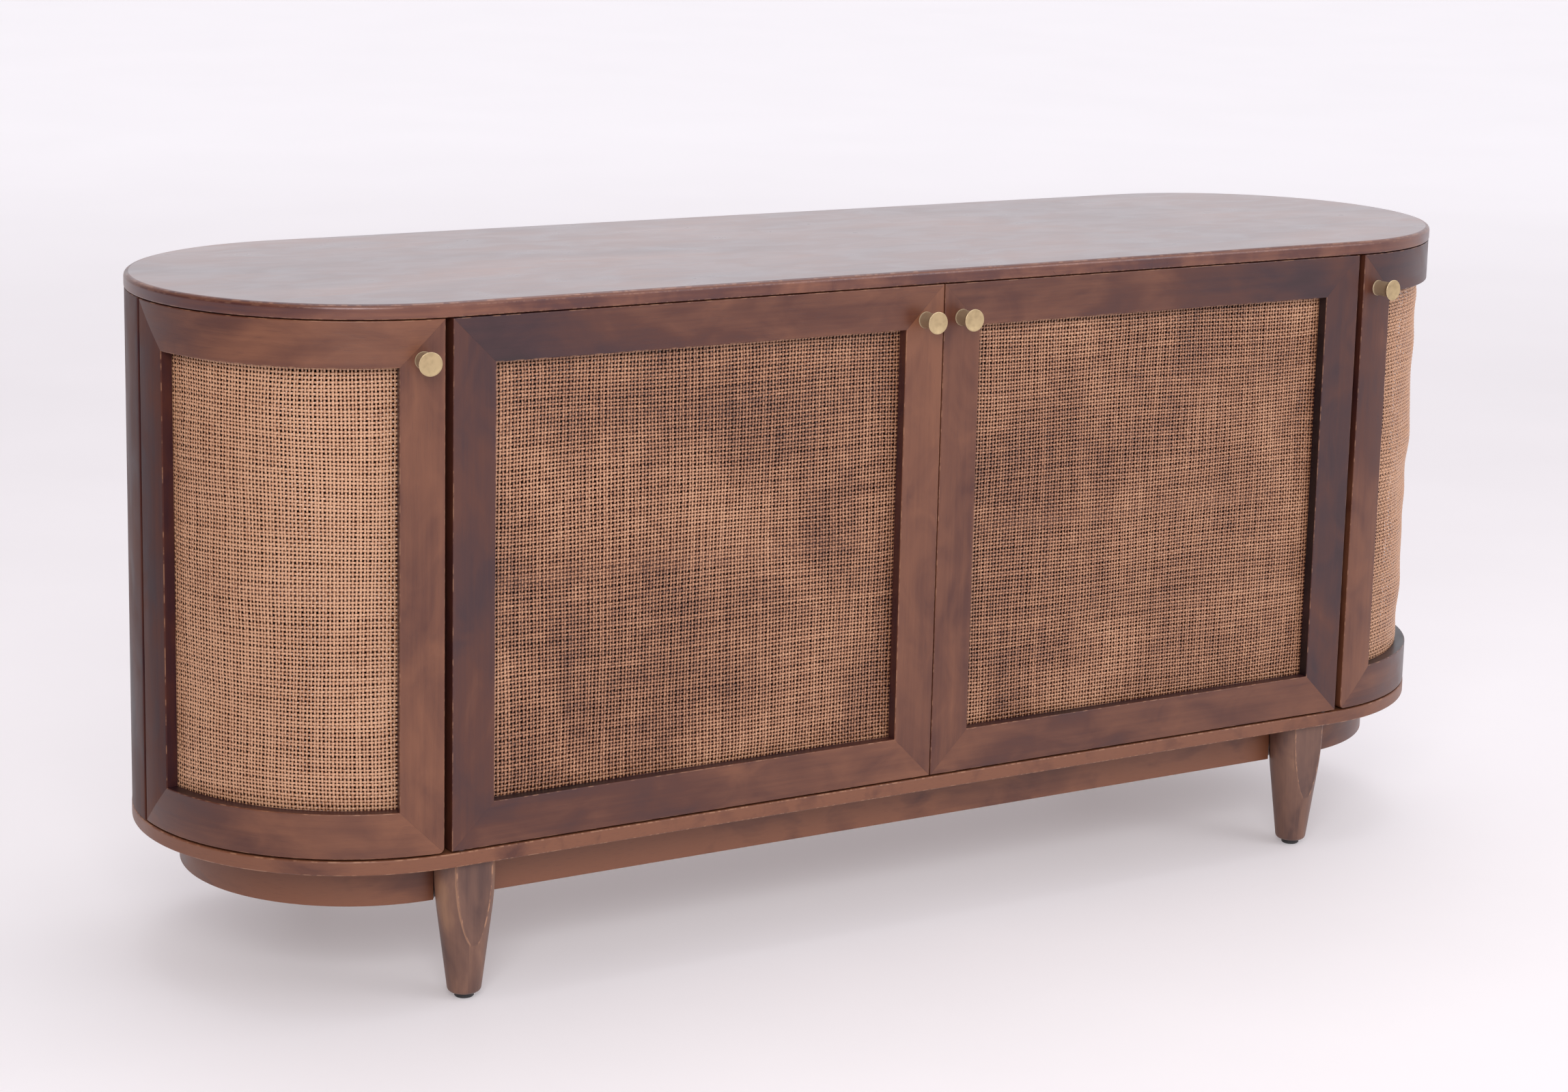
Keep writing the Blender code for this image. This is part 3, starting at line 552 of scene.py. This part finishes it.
# %% Walls, partitions and shelves
WALL_EASE = 0.001
WALL_EASES = (WALL_EASE, WALL_EASE)
for hand, side in (("left", -1), ("right", 1)):
    low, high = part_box(f"{hand}_side_panel")
    inner_radius = FACE_RADIUS - WALL_THICK
    start = math.pi / 2 + math.asin((low.y - MIDDLE_Y) / inner_radius)
    mean = FACE_RADIUS - WALL_THICK / 2
    sheet = rounded_box((start * mean, inner_radius), (math.pi * mean, FACE_RADIUS), WALL_EASE, (60, 1))
    angle = sheet[:, 0] / mean
    wall_x = side * (STRAIGHT + sheet[:, 1] * np.sin(angle))
    wall = np.stack([wall_x, MIDDLE_Y - sheet[:, 1] * np.cos(angle)], -1)
    wall = wall[::-1] if side > 0 else wall
    board(f"{hand}_wall", wall, low.z, high.z, WALL_EASES, side_wood, [f"{hand}_side_panel"],
          "stained_wood", tone=-0.5, seed=12.0 + side, turn=1)

INNER_BOARDS = ("back_panel", "left_partition", "right_partition", "centre_shelf")
for number, node in enumerate(INNER_BOARDS):
    low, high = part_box(node)
    outline = rounded_box((low.x, low.y), (high.x, high.y), WALL_EASE)
    board(f"{node}_board", outline, low.z, high.z, WALL_EASES, inner_wood, [node],
          "inner_wood", seed=20.0 + number, turn=0 if node == "centre_shelf" else 1)

for hand, side in (("left", -1), ("right", 1)):
    low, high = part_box(f"{hand}_shelf")
    radius = max(abs(low.x), abs(high.x)) - STRAIGHT
    front = MIDDLE_Y - low.y
    start = math.degrees(math.acos(front / radius))
    flat = min(abs(low.x), abs(high.x))
    arc = end_arc(radius, start, 180 - start, side=side)
    outline = np.concatenate([[(side * flat, low.y)], arc, [(side * flat, high.y)]])
    outline = outline if side > 0 else outline[::-1]
    board(f"{hand}_round_shelf", outline, low.z, high.z, WALL_EASES, inner_wood, [f"{hand}_shelf"],
          "inner_wood", seed=30.0 + side)

# %% [markdown]
# ## Legs
#
# Each leg is turned, then planed flat on its outer side.  The surface is worked out in polar form:
# the distance from the axis is the turned radius, or the distance to the flat where that is nearer.
# The columns follow the edges of the flat, so that these edges stay crisp, and can be rubbed pale.

# %% Legs
LEG_RADIUS = 0.034
LEG_FOOT_RADIUS = 0.0192
LEG_FOOT_ROUND = 0.0045
LEG_SHOULDER = 0.127
LEG_BLEND = 0.030
LEG_FLAT = 0.0261
LEG_FLAT_TONE = -0.7
LEAST_SPREAD = 0.16
RUB_SHARE = 0.94
RUB_TURN = 0.03
FLAT_COLUMNS = 14
ROUND_COLUMNS = 44
BOARD_CLEARANCE = 0.0002


def turned_radius(z, bottom):
    """Straight taper up to the shoulder, a parabola through it, then a cylinder."""
    slope = (LEG_RADIUS - LEG_FOOT_RADIUS) / (LEG_SHOULDER - bottom - LEG_FOOT_ROUND)
    taper = LEG_RADIUS - slope * (LEG_SHOULDER - z)
    past = np.clip(z - (LEG_SHOULDER - LEG_BLEND), 0, 2 * LEG_BLEND)
    blend = LEG_RADIUS - slope * (2 * LEG_BLEND - past) ** 2 / (4 * LEG_BLEND)
    body = np.where(z < LEG_SHOULDER - LEG_BLEND, taper, blend)
    under = np.clip(bottom + LEG_FOOT_ROUND - z, 0, LEG_FOOT_ROUND)
    return body - LEG_FOOT_ROUND + np.sqrt(np.maximum(LEG_FOOT_ROUND**2 - under**2, 0))


def leg(name, node, seed):
    """Rings of the leg from foot to board, with columns that track the edges of its flat."""
    low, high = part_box(node)
    axis_x = (low.x + high.x) / 2
    facing = -1 if low.y < MIDDLE_Y - STRAIGHT * 0.2 else 1
    axis_y = low.y + LEG_FLAT if facing < 0 else high.y - LEG_FLAT
    bottom, top = low.z, board_low.z - BOARD_CLEARANCE
    foot = bottom + LEG_FOOT_ROUND * (1 - np.cos(np.radians(np.linspace(0, 90, 7))))
    rest = np.linspace(bottom + LEG_FOOT_ROUND, top, 60)[1:]
    z = np.concatenate([foot, rest])
    radius = turned_radius(z, bottom)
    spread = np.maximum(np.arccos(np.minimum(LEG_FLAT / radius, 1.0)), LEAST_SPREAD)
    share = np.linspace(-1, 1, FLAT_COLUMNS + 1)
    share = np.sort(np.concatenate([share, [-RUB_SHARE, RUB_SHARE]]))
    on_flat = spread[:, None] * share[None]
    rest_share = np.concatenate([[RUB_TURN], np.linspace(0, 2, ROUND_COLUMNS)[1:-1], [2 - RUB_TURN]]) / 2
    on_round = spread[:, None] + (2 * np.pi - 2 * spread)[:, None] * rest_share[None]
    angle = np.concatenate([on_flat, on_round], 1)
    to_flat = np.where(np.cos(angle) > 0, LEG_FLAT / np.maximum(np.cos(angle), 1e-3), np.inf)
    reach = np.minimum(radius[:, None], to_flat)
    points = np.stack([
        axis_x + reach * np.sin(angle),
        axis_y + facing * reach * np.cos(angle),
        np.broadcast_to(z[:, None], angle.shape),
    ], -1)
    rows, columns = angle.shape
    edge = np.zeros((rows, columns))
    has_flat = radius > LEG_FLAT + 0.0001
    edge[has_flat, 0] = edge[has_flat, FLAT_COLUMNS + 2] = 1.0
    grain = np.stack([points[..., 2], angle * LEG_RADIUS, np.full(angle.shape, seed)], -1)
    tone = np.zeros((rows, columns))
    tone[has_flat, 1:FLAT_COLUMNS + 2] = LEG_FLAT_TONE
    ring = np.arange(columns)
    caps = np.stack([ring[::-1], ring + (rows - 1) * columns])
    groups = [grid_faces(rows, columns, loop_columns=True), caps]
    return new_piece(name, points, groups, leg_wood, "cabinet", [node], "leg_wood",
                     grain=grain.reshape(-1, 3), tone=tone.reshape(-1), edge=edge.reshape(-1))


LEG_NAMES = ("front_left", "front_right", "back_left", "back_right")
for number, place in enumerate(LEG_NAMES):
    leg(f"{place}_turned_leg", f"{place}_leg", 40.0 + number)
print("legs:", len(LEG_NAMES))

# %% [markdown]
# ## Plinth
#
# Under the board a straight rail runs between the front legs, and a half-round piece closes each end.
# Both are boards whose ends are hollowed to fit round the legs.

# %% Plinth pieces
rail_low, rail_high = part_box("front_plinth_rail")
leg_low, leg_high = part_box("front_right_leg")
LEG_X = (leg_low.x + leg_high.x) / 2
LEG_Y = leg_low.y + LEG_FLAT
PLINTH_OUTER = MIDDLE_Y - rail_low.y
PLINTH_INNER = MIDDLE_Y - rail_high.y


def cope(direction, steps=8):
    """Points on the leg's round between the plinth's outer and inner faces, outer face first."""
    y = np.linspace(rail_low.y, rail_high.y, steps)
    reach = np.sqrt(np.maximum((LEG_RADIUS + 0.0003) ** 2 - (y - LEG_Y) ** 2, 0))
    return np.stack([LEG_X + direction * reach, y], -1)


inner_cope = cope(-1)
mirrored = inner_cope * [-1, 1]
PLINTH_TOP = board_low.z - BOARD_CLEARANCE
board("front_plinth", np.concatenate([inner_cope, mirrored[::-1]]), rail_low.z, PLINTH_TOP, WALL_EASES,
      rail_wood, ["front_plinth_rail"], "stained_wood", tone=1.4, seed=51.0)
for hand, side in (("left", -1), ("right", 1)):
    start = cope(1)[::-1] * [side, 1]
    finish_end = start[::-1] * [1, -1] + [0, 2 * MIDDLE_Y]
    outer = end_arc(PLINTH_OUTER, 0.5, 180 - 0.5, side=side)
    inner = end_arc(PLINTH_INNER, 180, 0, side=side)
    outline = np.concatenate([start, outer, finish_end, inner])
    outline = outline if side > 0 else outline[::-1]
    board(f"{hand}_plinth", outline, rail_low.z, PLINTH_TOP, WALL_EASES, rail_wood,
          [f"{hand}_plinth_curve"], "stained_wood", tone=1.1, seed=53.0 + side)

# %% [markdown]
# ## Doors
#
# A door is drawn flat, in the distance from its free edge, the depth behind its face and the height,
# and then laid on a plane in the middle or bent round the end.  One function does the bending, and
# all that belongs to a door, its frame, its cane and its knob, goes through it.

# %% Laying a door in its place
DOORS = {
    "left_end": (-1, True),
    "centre_left": (-1, False),
    "centre_right": (1, False),
    "right_end": (1, True),
}


class Door:
    """One door: where it lies, how wide it is and the body that carries it."""

    def __init__(self, name):
        self.name = name
        self.body = f"{name}_door"
        self.side, self.curved = DOORS[name]
        free_low, free_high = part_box(f"{name}_free_stile")
        hinge_low, hinge_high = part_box(f"{name}_hinge_stile")
        nearest = min(abs(free_low.x), abs(free_high.x))
        if self.curved:
            back_radius = FACE_RADIUS - DOOR_THICK
            self.start = math.asin((nearest - STRAIGHT) / back_radius) * FACE_RADIUS
            end = math.acos((MIDDLE_Y - hinge_high.y) / back_radius) * FACE_RADIUS
        else:
            self.start = nearest
            end = max(abs(hinge_low.x), abs(hinge_high.x))
        self.width = end - self.start

    def place(self, s, depth, z):
        """Arrays of points: s from the free edge, depth behind the face, height above the floor."""
        s, depth, z = np.broadcast_arrays(s, depth, z)
        if self.curved:
            angle = (self.start + s) / FACE_RADIUS
            radius = FACE_RADIUS - depth
            x = STRAIGHT + radius * np.sin(angle)
            y = MIDDLE_Y - radius * np.cos(angle)
        else:
            x = self.start + s
            y = MIDDLE_Y - FACE_RADIUS + depth
        return np.stack([self.side * x, y, z], -1)


doors = [Door(name) for name in DOORS]
for door in doors:
    print(door.name, f"starts {door.start:.4f}, is {door.width:.4f} wide")

# %% [markdown]
# ### Frames
#
# Stiles and rails share one section, a rectangle with rounded edges and a rebate at the back for the
# cane.  It is carried along the member, and each line of it starts and stops as far in as it lies
# from the door's edge, which makes the mitres.

# %% Frame members
FRAME_EASE = 0.0011
JOINT = 0.00004
REBATE = 0.010
CORNER_ROUND = 0.0065


def frame_section():
    """The section as (across, depth, wear, reveal), going round from the outer front edge."""
    e, w, t = FRAME_EASE, FRAME_WIDTH, DOOR_THICK
    shoulder = w - REBATE
    turn = np.radians(np.linspace(0, 90, EASE_STEPS + 1))
    ease = np.stack([e * (1 - np.sin(turn)), e * (1 - np.cos(turn)), np.sin(2 * turn)], -1)
    front = np.concatenate([[e + SUPPORT], np.linspace(0.004, w - 0.004, 9), [w - e - SUPPORT]])
    parts = [
        np.stack([ease[::-1, 0], ease[::-1, 1], ease[:, 2], 0 * turn], -1),
        np.stack([front, 0 * front, 0 * front, 0 * front], -1),
        np.stack([w - ease[:, 0], ease[:, 1], ease[:, 2], 0 * turn], -1),
        # Reveal 1 marks the faces round the opening, which are darkened: partly stain, partly painted
        # shade.
        [(w, e + SUPPORT, 0, 1), (w, CANE_DEPTH, 0, 1), (shoulder, CANE_DEPTH, 0, 1), (shoulder, t, 0, 0)],
        [(a, t, 0, 0) for a in np.linspace(shoulder - 0.004, 0.004, 7)],
        [(0.0006, t, 0, 0), (0, t - 0.0006, 0, 0), (0, e + SUPPORT, 0, 0)],
    ]
    return np.concatenate([np.asarray(p, float) for p in parts])


def soften(s, z, radius):
    """Squeezes the square lower corner at s = 0 into a quarter circle.

    Inside the corner's square a point keeps its larger offset from the circle's middle as its radius.
    """
    ds = s - radius
    dz = z - DOOR_BOTTOM - radius
    near = (ds < 0) & (dz < 0)
    scale = np.maximum(-ds, -dz) / np.maximum(np.hypot(ds, dz), 1e-9)
    return np.where(near, radius + ds * scale, s), np.where(near, DOOR_BOTTOM + radius + dz * scale, z)


def member(door, which, tone, seed):
    """One stile or rail of a door."""
    across, depth, wear, reveal = frame_section().T
    node = f"{door.name}_{which}"
    upright = "stile" in which
    stations = 44 if door.curved and not upright else 3
    near = np.array([0, 0.0015, 0.003, 0.005, 0.0075])
    length = DOOR_TOP - DOOR_BOTTOM if upright else door.width
    t = np.concatenate([near / length, np.linspace(0.03, 0.97, stations), 1 - near[::-1] / length])[:, None]
    inset = across[None] + JOINT
    along_s = inset + (door.width - 2 * inset) * t
    along_z = DOOR_BOTTOM + inset + (DOOR_TOP - DOOR_BOTTOM - 2 * inset) * t
    whole = 0 * t
    s, z = {
        "free_stile": (across + whole, along_z),
        "hinge_stile": (door.width - across + whole, along_z),
        "top_rail": (along_s, DOOR_TOP - across + whole),
        "bottom_rail": (along_s, DOOR_BOTTOM + across + whole),
    }[which]
    if door.curved:
        s, z = soften(s, z, CORNER_ROUND)
    points = door.place(s, depth + whole, z)
    rows, columns = s.shape
    along, side_way = (z, s) if upright else (s, z)
    grain = np.stack([along, side_way + depth, np.full(s.shape, seed)], -1)
    ring = np.arange(columns)
    caps = np.stack([ring[::-1], ring + (rows - 1) * columns])
    groups = [grid_faces(rows, columns, loop_columns=True), caps]
    # The reveal faces take painted shade of the recess round the cane, on top of a darker stain.
    tones = tone[0] + (tone[1] - tone[0]) * t + REVEAL_STAIN_AND_SHADE.get(node, DARK_REVEAL) * reveal[None]
    finish = side_wood if which == "hinge_stile" and door.curved else case_wood
    return new_piece(f"{node}_member", points, groups, finish, door.body, [node], "stained_wood",
                     grain=grain.reshape(-1, 3), tone=tones.reshape(-1),
                     edge=np.broadcast_to(wear, s.shape).reshape(-1))


# How much darker the reveals are, partly stain and partly painted shade; the left end's hinge stile less.
DARK_REVEAL = -1.6
REVEAL_STAIN_AND_SHADE = {"left_end_hinge_stile": -0.4}
MEMBERS = ("free_stile", "hinge_stile", "top_rail", "bottom_rail")
STAIN = {
    "left_end": ((0.9, 0.5), (-0.2, -0.5), (0.9, 0.0), (1.0, 0.0)),
    "centre_left": ((0.1, 1.1), (-0.3, -0.2), (0.8, -0.7), (0.6, -0.2)),
    "centre_right": ((0.0, 0.8), (-0.7, -0.2), (0.3, -0.8), (0.3, 0.4)),
    "right_end": ((0.8, 0.1), (-0.4, -0.4), (-0.6, -0.8), (-0.2, -0.6)),
}
for number, door in enumerate(doors):
    for k, which in enumerate(MEMBERS):
        member(door, which, STAIN[door.name][k], 60.0 + 7 * number + 1.7 * k)
print("frame members:", len(doors) * len(MEMBERS))

# %% [markdown]
# ### Woven cane
#
# The panels are woven from strands of cane: each upright strand goes over one cross strand and under
# the next.  All strands of one direction are one piece, computed at once.  A strand's section is an
# arch of three points, and its depth follows a cosine that changes sign from strand to strand.  The
# sheet is never quite flat: a slow wave moves the whole weave in and out, most of all in the round
# doors, and a slower one pushes the strands sideways.

# %% Cane strands
CANE_PITCH = (0.00422, 0.00435)
STRAND_WIDTH = (0.00232, 0.00226)
STRAND_CROWN = 0.00062
WEAVE_DEPTH = 0.00064
ROUND_DOOR_WIDER = 1.05
CANE_SEAT = 0.0012
TUCK = 0.008
STILL_BORDER = 0.035
SIDEWAYS = 0.10
DRIFT = (0.0012, 0.0014)


def slow_wave(s, z, phase):
    """A few long sines in both directions, between about -1 and 1."""
    waves = np.sin(37 * z + 9 * s + phase) + 0.8 * np.sin(61 * z - 23 * s + 2.1 * phase)
    waves += 0.7 * np.sin(48 * s + 17 * z + 1.3 * phase) + 0.5 * np.sin(95 * z + 31 * s + 0.7 * phase)
    return waves / 3


def weave(door, upright, phase, bulge):
    """All strands of one direction: (strand, station, section point) arrays."""
    margin = FRAME_WIDTH - TUCK
    spans = (door.width - 2 * margin, DOOR_TOP - DOOR_BOTTOM - 2 * margin)
    counts = [int(span / pitch) for span, pitch in zip(spans, CANE_PITCH)]
    pitches = [span / count for span, count in zip(spans, counts)]
    mine, other = (0, 1) if upright else (1, 0)
    strand = np.arange(counts[mine])[:, None, None]
    station = (np.arange(2 * counts[other] + 1) / 2)[None, :, None]
    arch = np.array([-0.5, 0.0, 0.5])[None, None]
    lift = np.array([0.0, -1.0, 0.0])[None, None]
    random = np.random.default_rng(int(100 * phase) + mine)
    chance = random.random((counts[mine], 1, 1))
    sideways = SIDEWAYS * pitches[mine] * np.sin(station * 0.11 + 40 * chance) * np.ones_like(arch)
    wider = ROUND_DOOR_WIDER if door.curved else 1.0
    width = STRAND_WIDTH[mine] * wider * (0.9 + 0.2 * random.random((counts[mine], 1, 1)))
    own = margin + (strand + 0.5) * pitches[mine] + sideways + width * arch
    along = margin + station * pitches[other] + 0 * own
    s, z = (own, along) if upright else (along, own)
    z = DOOR_BOTTOM + z
    to_border = np.minimum.reduce([s - margin, door.width - margin - s, z - DOOR_BOTTOM - margin,
                                   DOOR_TOP - margin - z])
    window = np.clip(to_border / STILL_BORDER, 0, 1)
    window = window * window * (3 - 2 * window)
    over = np.cos(np.pi * (station - 0.5 + strand)) * (1 if upright else -1)
    over = over + 0 * own
    depth = CANE_DEPTH + CANE_SEAT - WEAVE_DEPTH * over + STRAND_CROWN * (lift + 0 * own)
    depth = depth - bulge * window * (0.6 + slow_wave(s, z, phase))
    drift = DRIFT[0] * window * np.sin(21 * s + 13 * z + phase)
    drift_z = DRIFT[1] * window * np.sin(17 * s - 19 * z + 2 * phase)
    points = door.place(s + drift, depth, z + drift_z)
    count, rows, columns = own.shape
    one = grid_faces(rows, columns, loop_columns=True)
    ends = np.array([[2, 1, 0], np.arange(3) + (rows - 1) * columns])
    offsets = (np.arange(count) * rows * columns)[:, None, None]
    groups = [(one[None] + offsets).reshape(-1, 4), (ends[None] + offsets).reshape(-1, 3)]
    # The third number carries painted light: high on a crossing strand's crown, low in its dips and at its
    # sides.
    strand_data = np.stack([along, chance + 0 * own, over - (lift == 0) * 0.6], -1)
    return points, groups, strand_data


# %% Cane finish
CANE_DARK = (0.080, 0.030, 0.018)
CANE_MID = (0.330, 0.145, 0.074)
CANE_PALE = (0.610, 0.345, 0.205)


def cane_finish(name, shift, cloudiness):
    """Tan strands that differ from each other, softly clouded over the panel, with a painted highlight
    where they cross over and painted shade where they dip and at their sides.
    """
    cane = Finish(name, 0.34, Specular_IOR_Level=0.5)
    strand = cane.attribute("strand", "Vector")
    _, chance, over = cane.numbers(strand)
    places = cane.places()
    clouds = cane.noise(cane.stretched(places, (7.0, 7.0, 7.0)), detail=3.0, distortion=0.6)
    speck = cane.noise(cane.stretched(places, (70.0, 70.0, 70.0)), detail=3.0)
    fibres = cane.noise(cane.stretched(strand, (60.0, 500.0, 0.0)), detail=2.0)
    clouded = (clouds - 0.5) * cloudiness + (speck - 0.5) * 0.30 + (fibres - 0.5) * 0.2
    # over adds a painted highlight where a strand crosses over and painted shade where it dips and at its
    # sides.
    shade = clouded + (chance - 0.5) * 0.13 + over * 0.27 + shift
    colour = cane.ramp(shade, [(0.22, CANE_DARK), (0.50, CANE_MID), (0.84, CANE_PALE)])
    cane.set(Base_Color=colour, Roughness=cane.band(speck, 0.42, 0.60, 0.14, 0.40))
    cane.relief(fibres, 0.0001, 0.5)
    return cane.material


# The round doors' cane is painted lighter (shift 0.72 against 0.50): painted light for the light on those
# doors.
flat_cane = cane_finish("flat_door_cane", 0.50, 0.60)
round_cane = cane_finish("round_door_cane", 0.72, 0.35)
CANE = {
    "left_end": (1.3, 0.0016),
    "centre_left": (2.9, 0.0007),
    "centre_right": (4.4, 0.0007),
    "right_end": (5.8, 0.0031),
}
for door in doors:
    phase, bulge = CANE[door.name]
    finish = round_cane if door.curved else flat_cane
    for word, upright in (("uprights", True), ("cross_strands", False)):
        points, groups, strand = weave(door, upright, phase, bulge)
        piece = new_piece(f"{door.name}_cane_{word}", points, groups, finish, door.body,
                          [f"{door.name}_cane"], "cane", smooth=80, strand=strand.reshape(-1, 3))
        print(piece.name, sum(len(p.vertices) - 2 for p in piece.data.polygons), "triangles")

# %% [markdown]
# ### Knobs
#
# Trumpet-shaped brass knobs: a flange, a straight stem that flares to a wide, slightly dished face.
# The section is a profile of (radius, distance from the door), turned round the knob's axis.

# %% Knob shape and brass
KNOB_INSET = 0.0245
KNOB_REACH = 0.026
KNOB_RADIUS = 0.0130
KNOB_STEM = 0.0092
KNOB_FLANGE = 0.0098
KNOB_DISH = 0.0011
KNOB_RIM = 0.0006
KNOB_SIDES = 72


def knob_profile():
    """(radius, distance out, wear) from the middle of the face round the rim to the flange's back."""
    share = np.linspace(0, 1, 14)[1:]
    face = np.stack([0.012 * share, KNOB_REACH - KNOB_DISH * (1 - share**2), 0 * share], -1)
    turn = np.radians(np.linspace(0, 180, 9))
    rim_radius = KNOB_RADIUS - KNOB_RIM * (1 - np.sin(turn))
    rim = np.stack([rim_radius, KNOB_REACH - KNOB_RIM * (1 - np.cos(turn)), np.sin(turn)], -1)
    flare = np.linspace(1, 0, 16)
    horn = KNOB_STEM + (KNOB_RADIUS - KNOB_RIM - KNOB_STEM) * flare**2.2
    stem = np.stack([horn, 0.0165 + 0.0080 * flare, 0 * flare], -1)
    foot = [(KNOB_STEM, 0.010, 0), (KNOB_STEM, 0.0020, 0), (KNOB_STEM + 0.0002, 0.0016, 0)]
    foot += [(KNOB_FLANGE - 0.0002, 0.0014, 0.6), (KNOB_FLANGE, 0.0011, 0.8), (KNOB_FLANGE, 0.0001, 0)]
    return np.concatenate([face, rim, stem, np.array(foot)])


def knob(door):
    """The profile turned round the door's outward direction at the knob's place."""
    low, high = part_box(f"{door.name}_knob")
    level = (low.z + high.z) / 2
    base = door.place(KNOB_INSET, 0.0, level)
    outward = base - door.place(KNOB_INSET, DOOR_THICK, level)
    outward = outward / np.linalg.norm(outward)
    sideways = np.cross([0.0, 0.0, 1.0], outward)
    radius, out, wear = knob_profile().T
    angle = np.linspace(0, 2 * np.pi, KNOB_SIDES, endpoint=False)
    ring = np.cos(angle)[:, None] * sideways + np.sin(angle)[:, None] * np.array([0.0, 0.0, 1.0])
    points = base + out[:, None, None] * outward + radius[:, None, None] * ring[None]
    rows = len(radius)
    count = np.arange(KNOB_SIDES)
    middle = base + (KNOB_REACH - KNOB_DISH) * outward
    fan = np.stack([np.full(KNOB_SIDES, rows * KNOB_SIDES), (count + 1) % KNOB_SIDES, count], -1)
    groups = [grid_faces(rows, KNOB_SIDES, loop_columns=True), fan, ((rows - 1) * KNOB_SIDES + count)[None]]
    centre_first = np.concatenate([points.reshape(-1, 3), middle[None]])
    local = np.stack([
        np.broadcast_to(radius[:, None], (rows, KNOB_SIDES)),
        np.broadcast_to(angle[None] / (2 * np.pi), (rows, KNOB_SIDES)),
        np.broadcast_to(out[:, None], (rows, KNOB_SIDES)),
    ], -1).reshape(-1, 3)
    local = np.concatenate([local, [[0, 0, KNOB_REACH]]])
    edge = np.concatenate([np.repeat(wear, KNOB_SIDES), [0.0]])
    return new_piece(f"{door.name}_turned_knob", centre_first, groups, brass, door.body,
                     [f"{door.name}_knob"], "aged_brass", turning=local, edge=edge)


def brass_finish():
    """Aged brass: yellow metal, dulled and browned down the stem, bright where it is rubbed."""
    metal = Finish("aged_brass", 0.4)
    turning = metal.attribute("turning", "Vector")
    edge = metal.attribute("edge")
    out = metal.numbers(turning)[2]
    clouds = metal.noise(metal.places(), scale=140.0, detail=4.0)
    scratches = metal.noise(metal.stretched(turning, (2600.0, 6.0, 300.0)), detail=2.0)
    face = metal.band(out, 0.0215, 0.0240)
    colour = metal.mix(face, (0.33, 0.235, 0.145), (0.54, 0.41, 0.235))
    colour = metal.mix(metal.band(clouds, 0.35, 0.75) * 0.35, colour, (0.27, 0.205, 0.120))
    colour = metal.mix(edge * 0.6, colour, (0.80, 0.68, 0.44))
    metal.set(Base_Color=colour, Metallic=metal.band(out, 0.0200, 0.0245, 0.35, 1.0),
              Roughness=metal.band(clouds, 0.3, 0.7, 0.36, 0.50))
    metal.relief(scratches * 0.5 + clouds, 0.00006, 0.5)
    return metal.material


brass = brass_finish()
for door in doors:
    knob(door)
print("knobs:", len(doors))

# %% [markdown]
# ## Small parts
#
# The glides under the legs, the catches, the hinge pins and the strips that hold the cane keep their
# solids' shapes where those are right, and get finishes that read Object coordinates.

# %% Finishes of the small parts


def plain_finish(name, dark, light, roughness, scale, metallic=0.0):
    """A moulded or machined surface: two close shades and a fine relief."""
    plain = Finish(name, roughness, Metallic=metallic)
    clouds = plain.noise(plain.places(), scale=scale, detail=4.0)
    plain.set(Base_Color=plain.mix(clouds, dark, light),
              Roughness=plain.band(clouds, 0.3, 0.7, roughness - 0.06, roughness + 0.06))
    plain.relief(clouds, 0.00005, 0.4)
    return plain.material


black = plain_finish("black_plastic", (0.012, 0.012, 0.013), (0.03, 0.03, 0.032), 0.45, 900.0)
steel = plain_finish("plain_steel", (0.42, 0.42, 0.43), (0.62, 0.62, 0.63), 0.35, 500.0, 1.0)


def bead_wood():
    """Stained strip without a grain attribute: its fibre comes from Object coordinates."""
    bead = Finish("strip_wood", 0.45)
    lines = bead.noise(bead.stretched(bead.places(), (60.0, 60.0, 25.0)), detail=4.0)
    bead.set(Base_Color=bead.ramp(lines, [(0.3, PURPLE_BROWN), (0.7, RED_BROWN)]))
    bead.relief(lines, 0.0001, 0.5)
    return bead.material


strip_wood = bead_wood()
SMALL_PARTS = {"_glide": black, "_catch": black, "_pin": steel, "_bead_frame": strip_wood}
for node, solid in frame["nodes"].items():
    for ending, finish in SMALL_PARTS.items():
        if node.endswith(ending):
            solid.material_slots[0].material = finish
print("kept solids:", sum(node.endswith(tuple(SMALL_PARTS)) for node in frame["nodes"]))
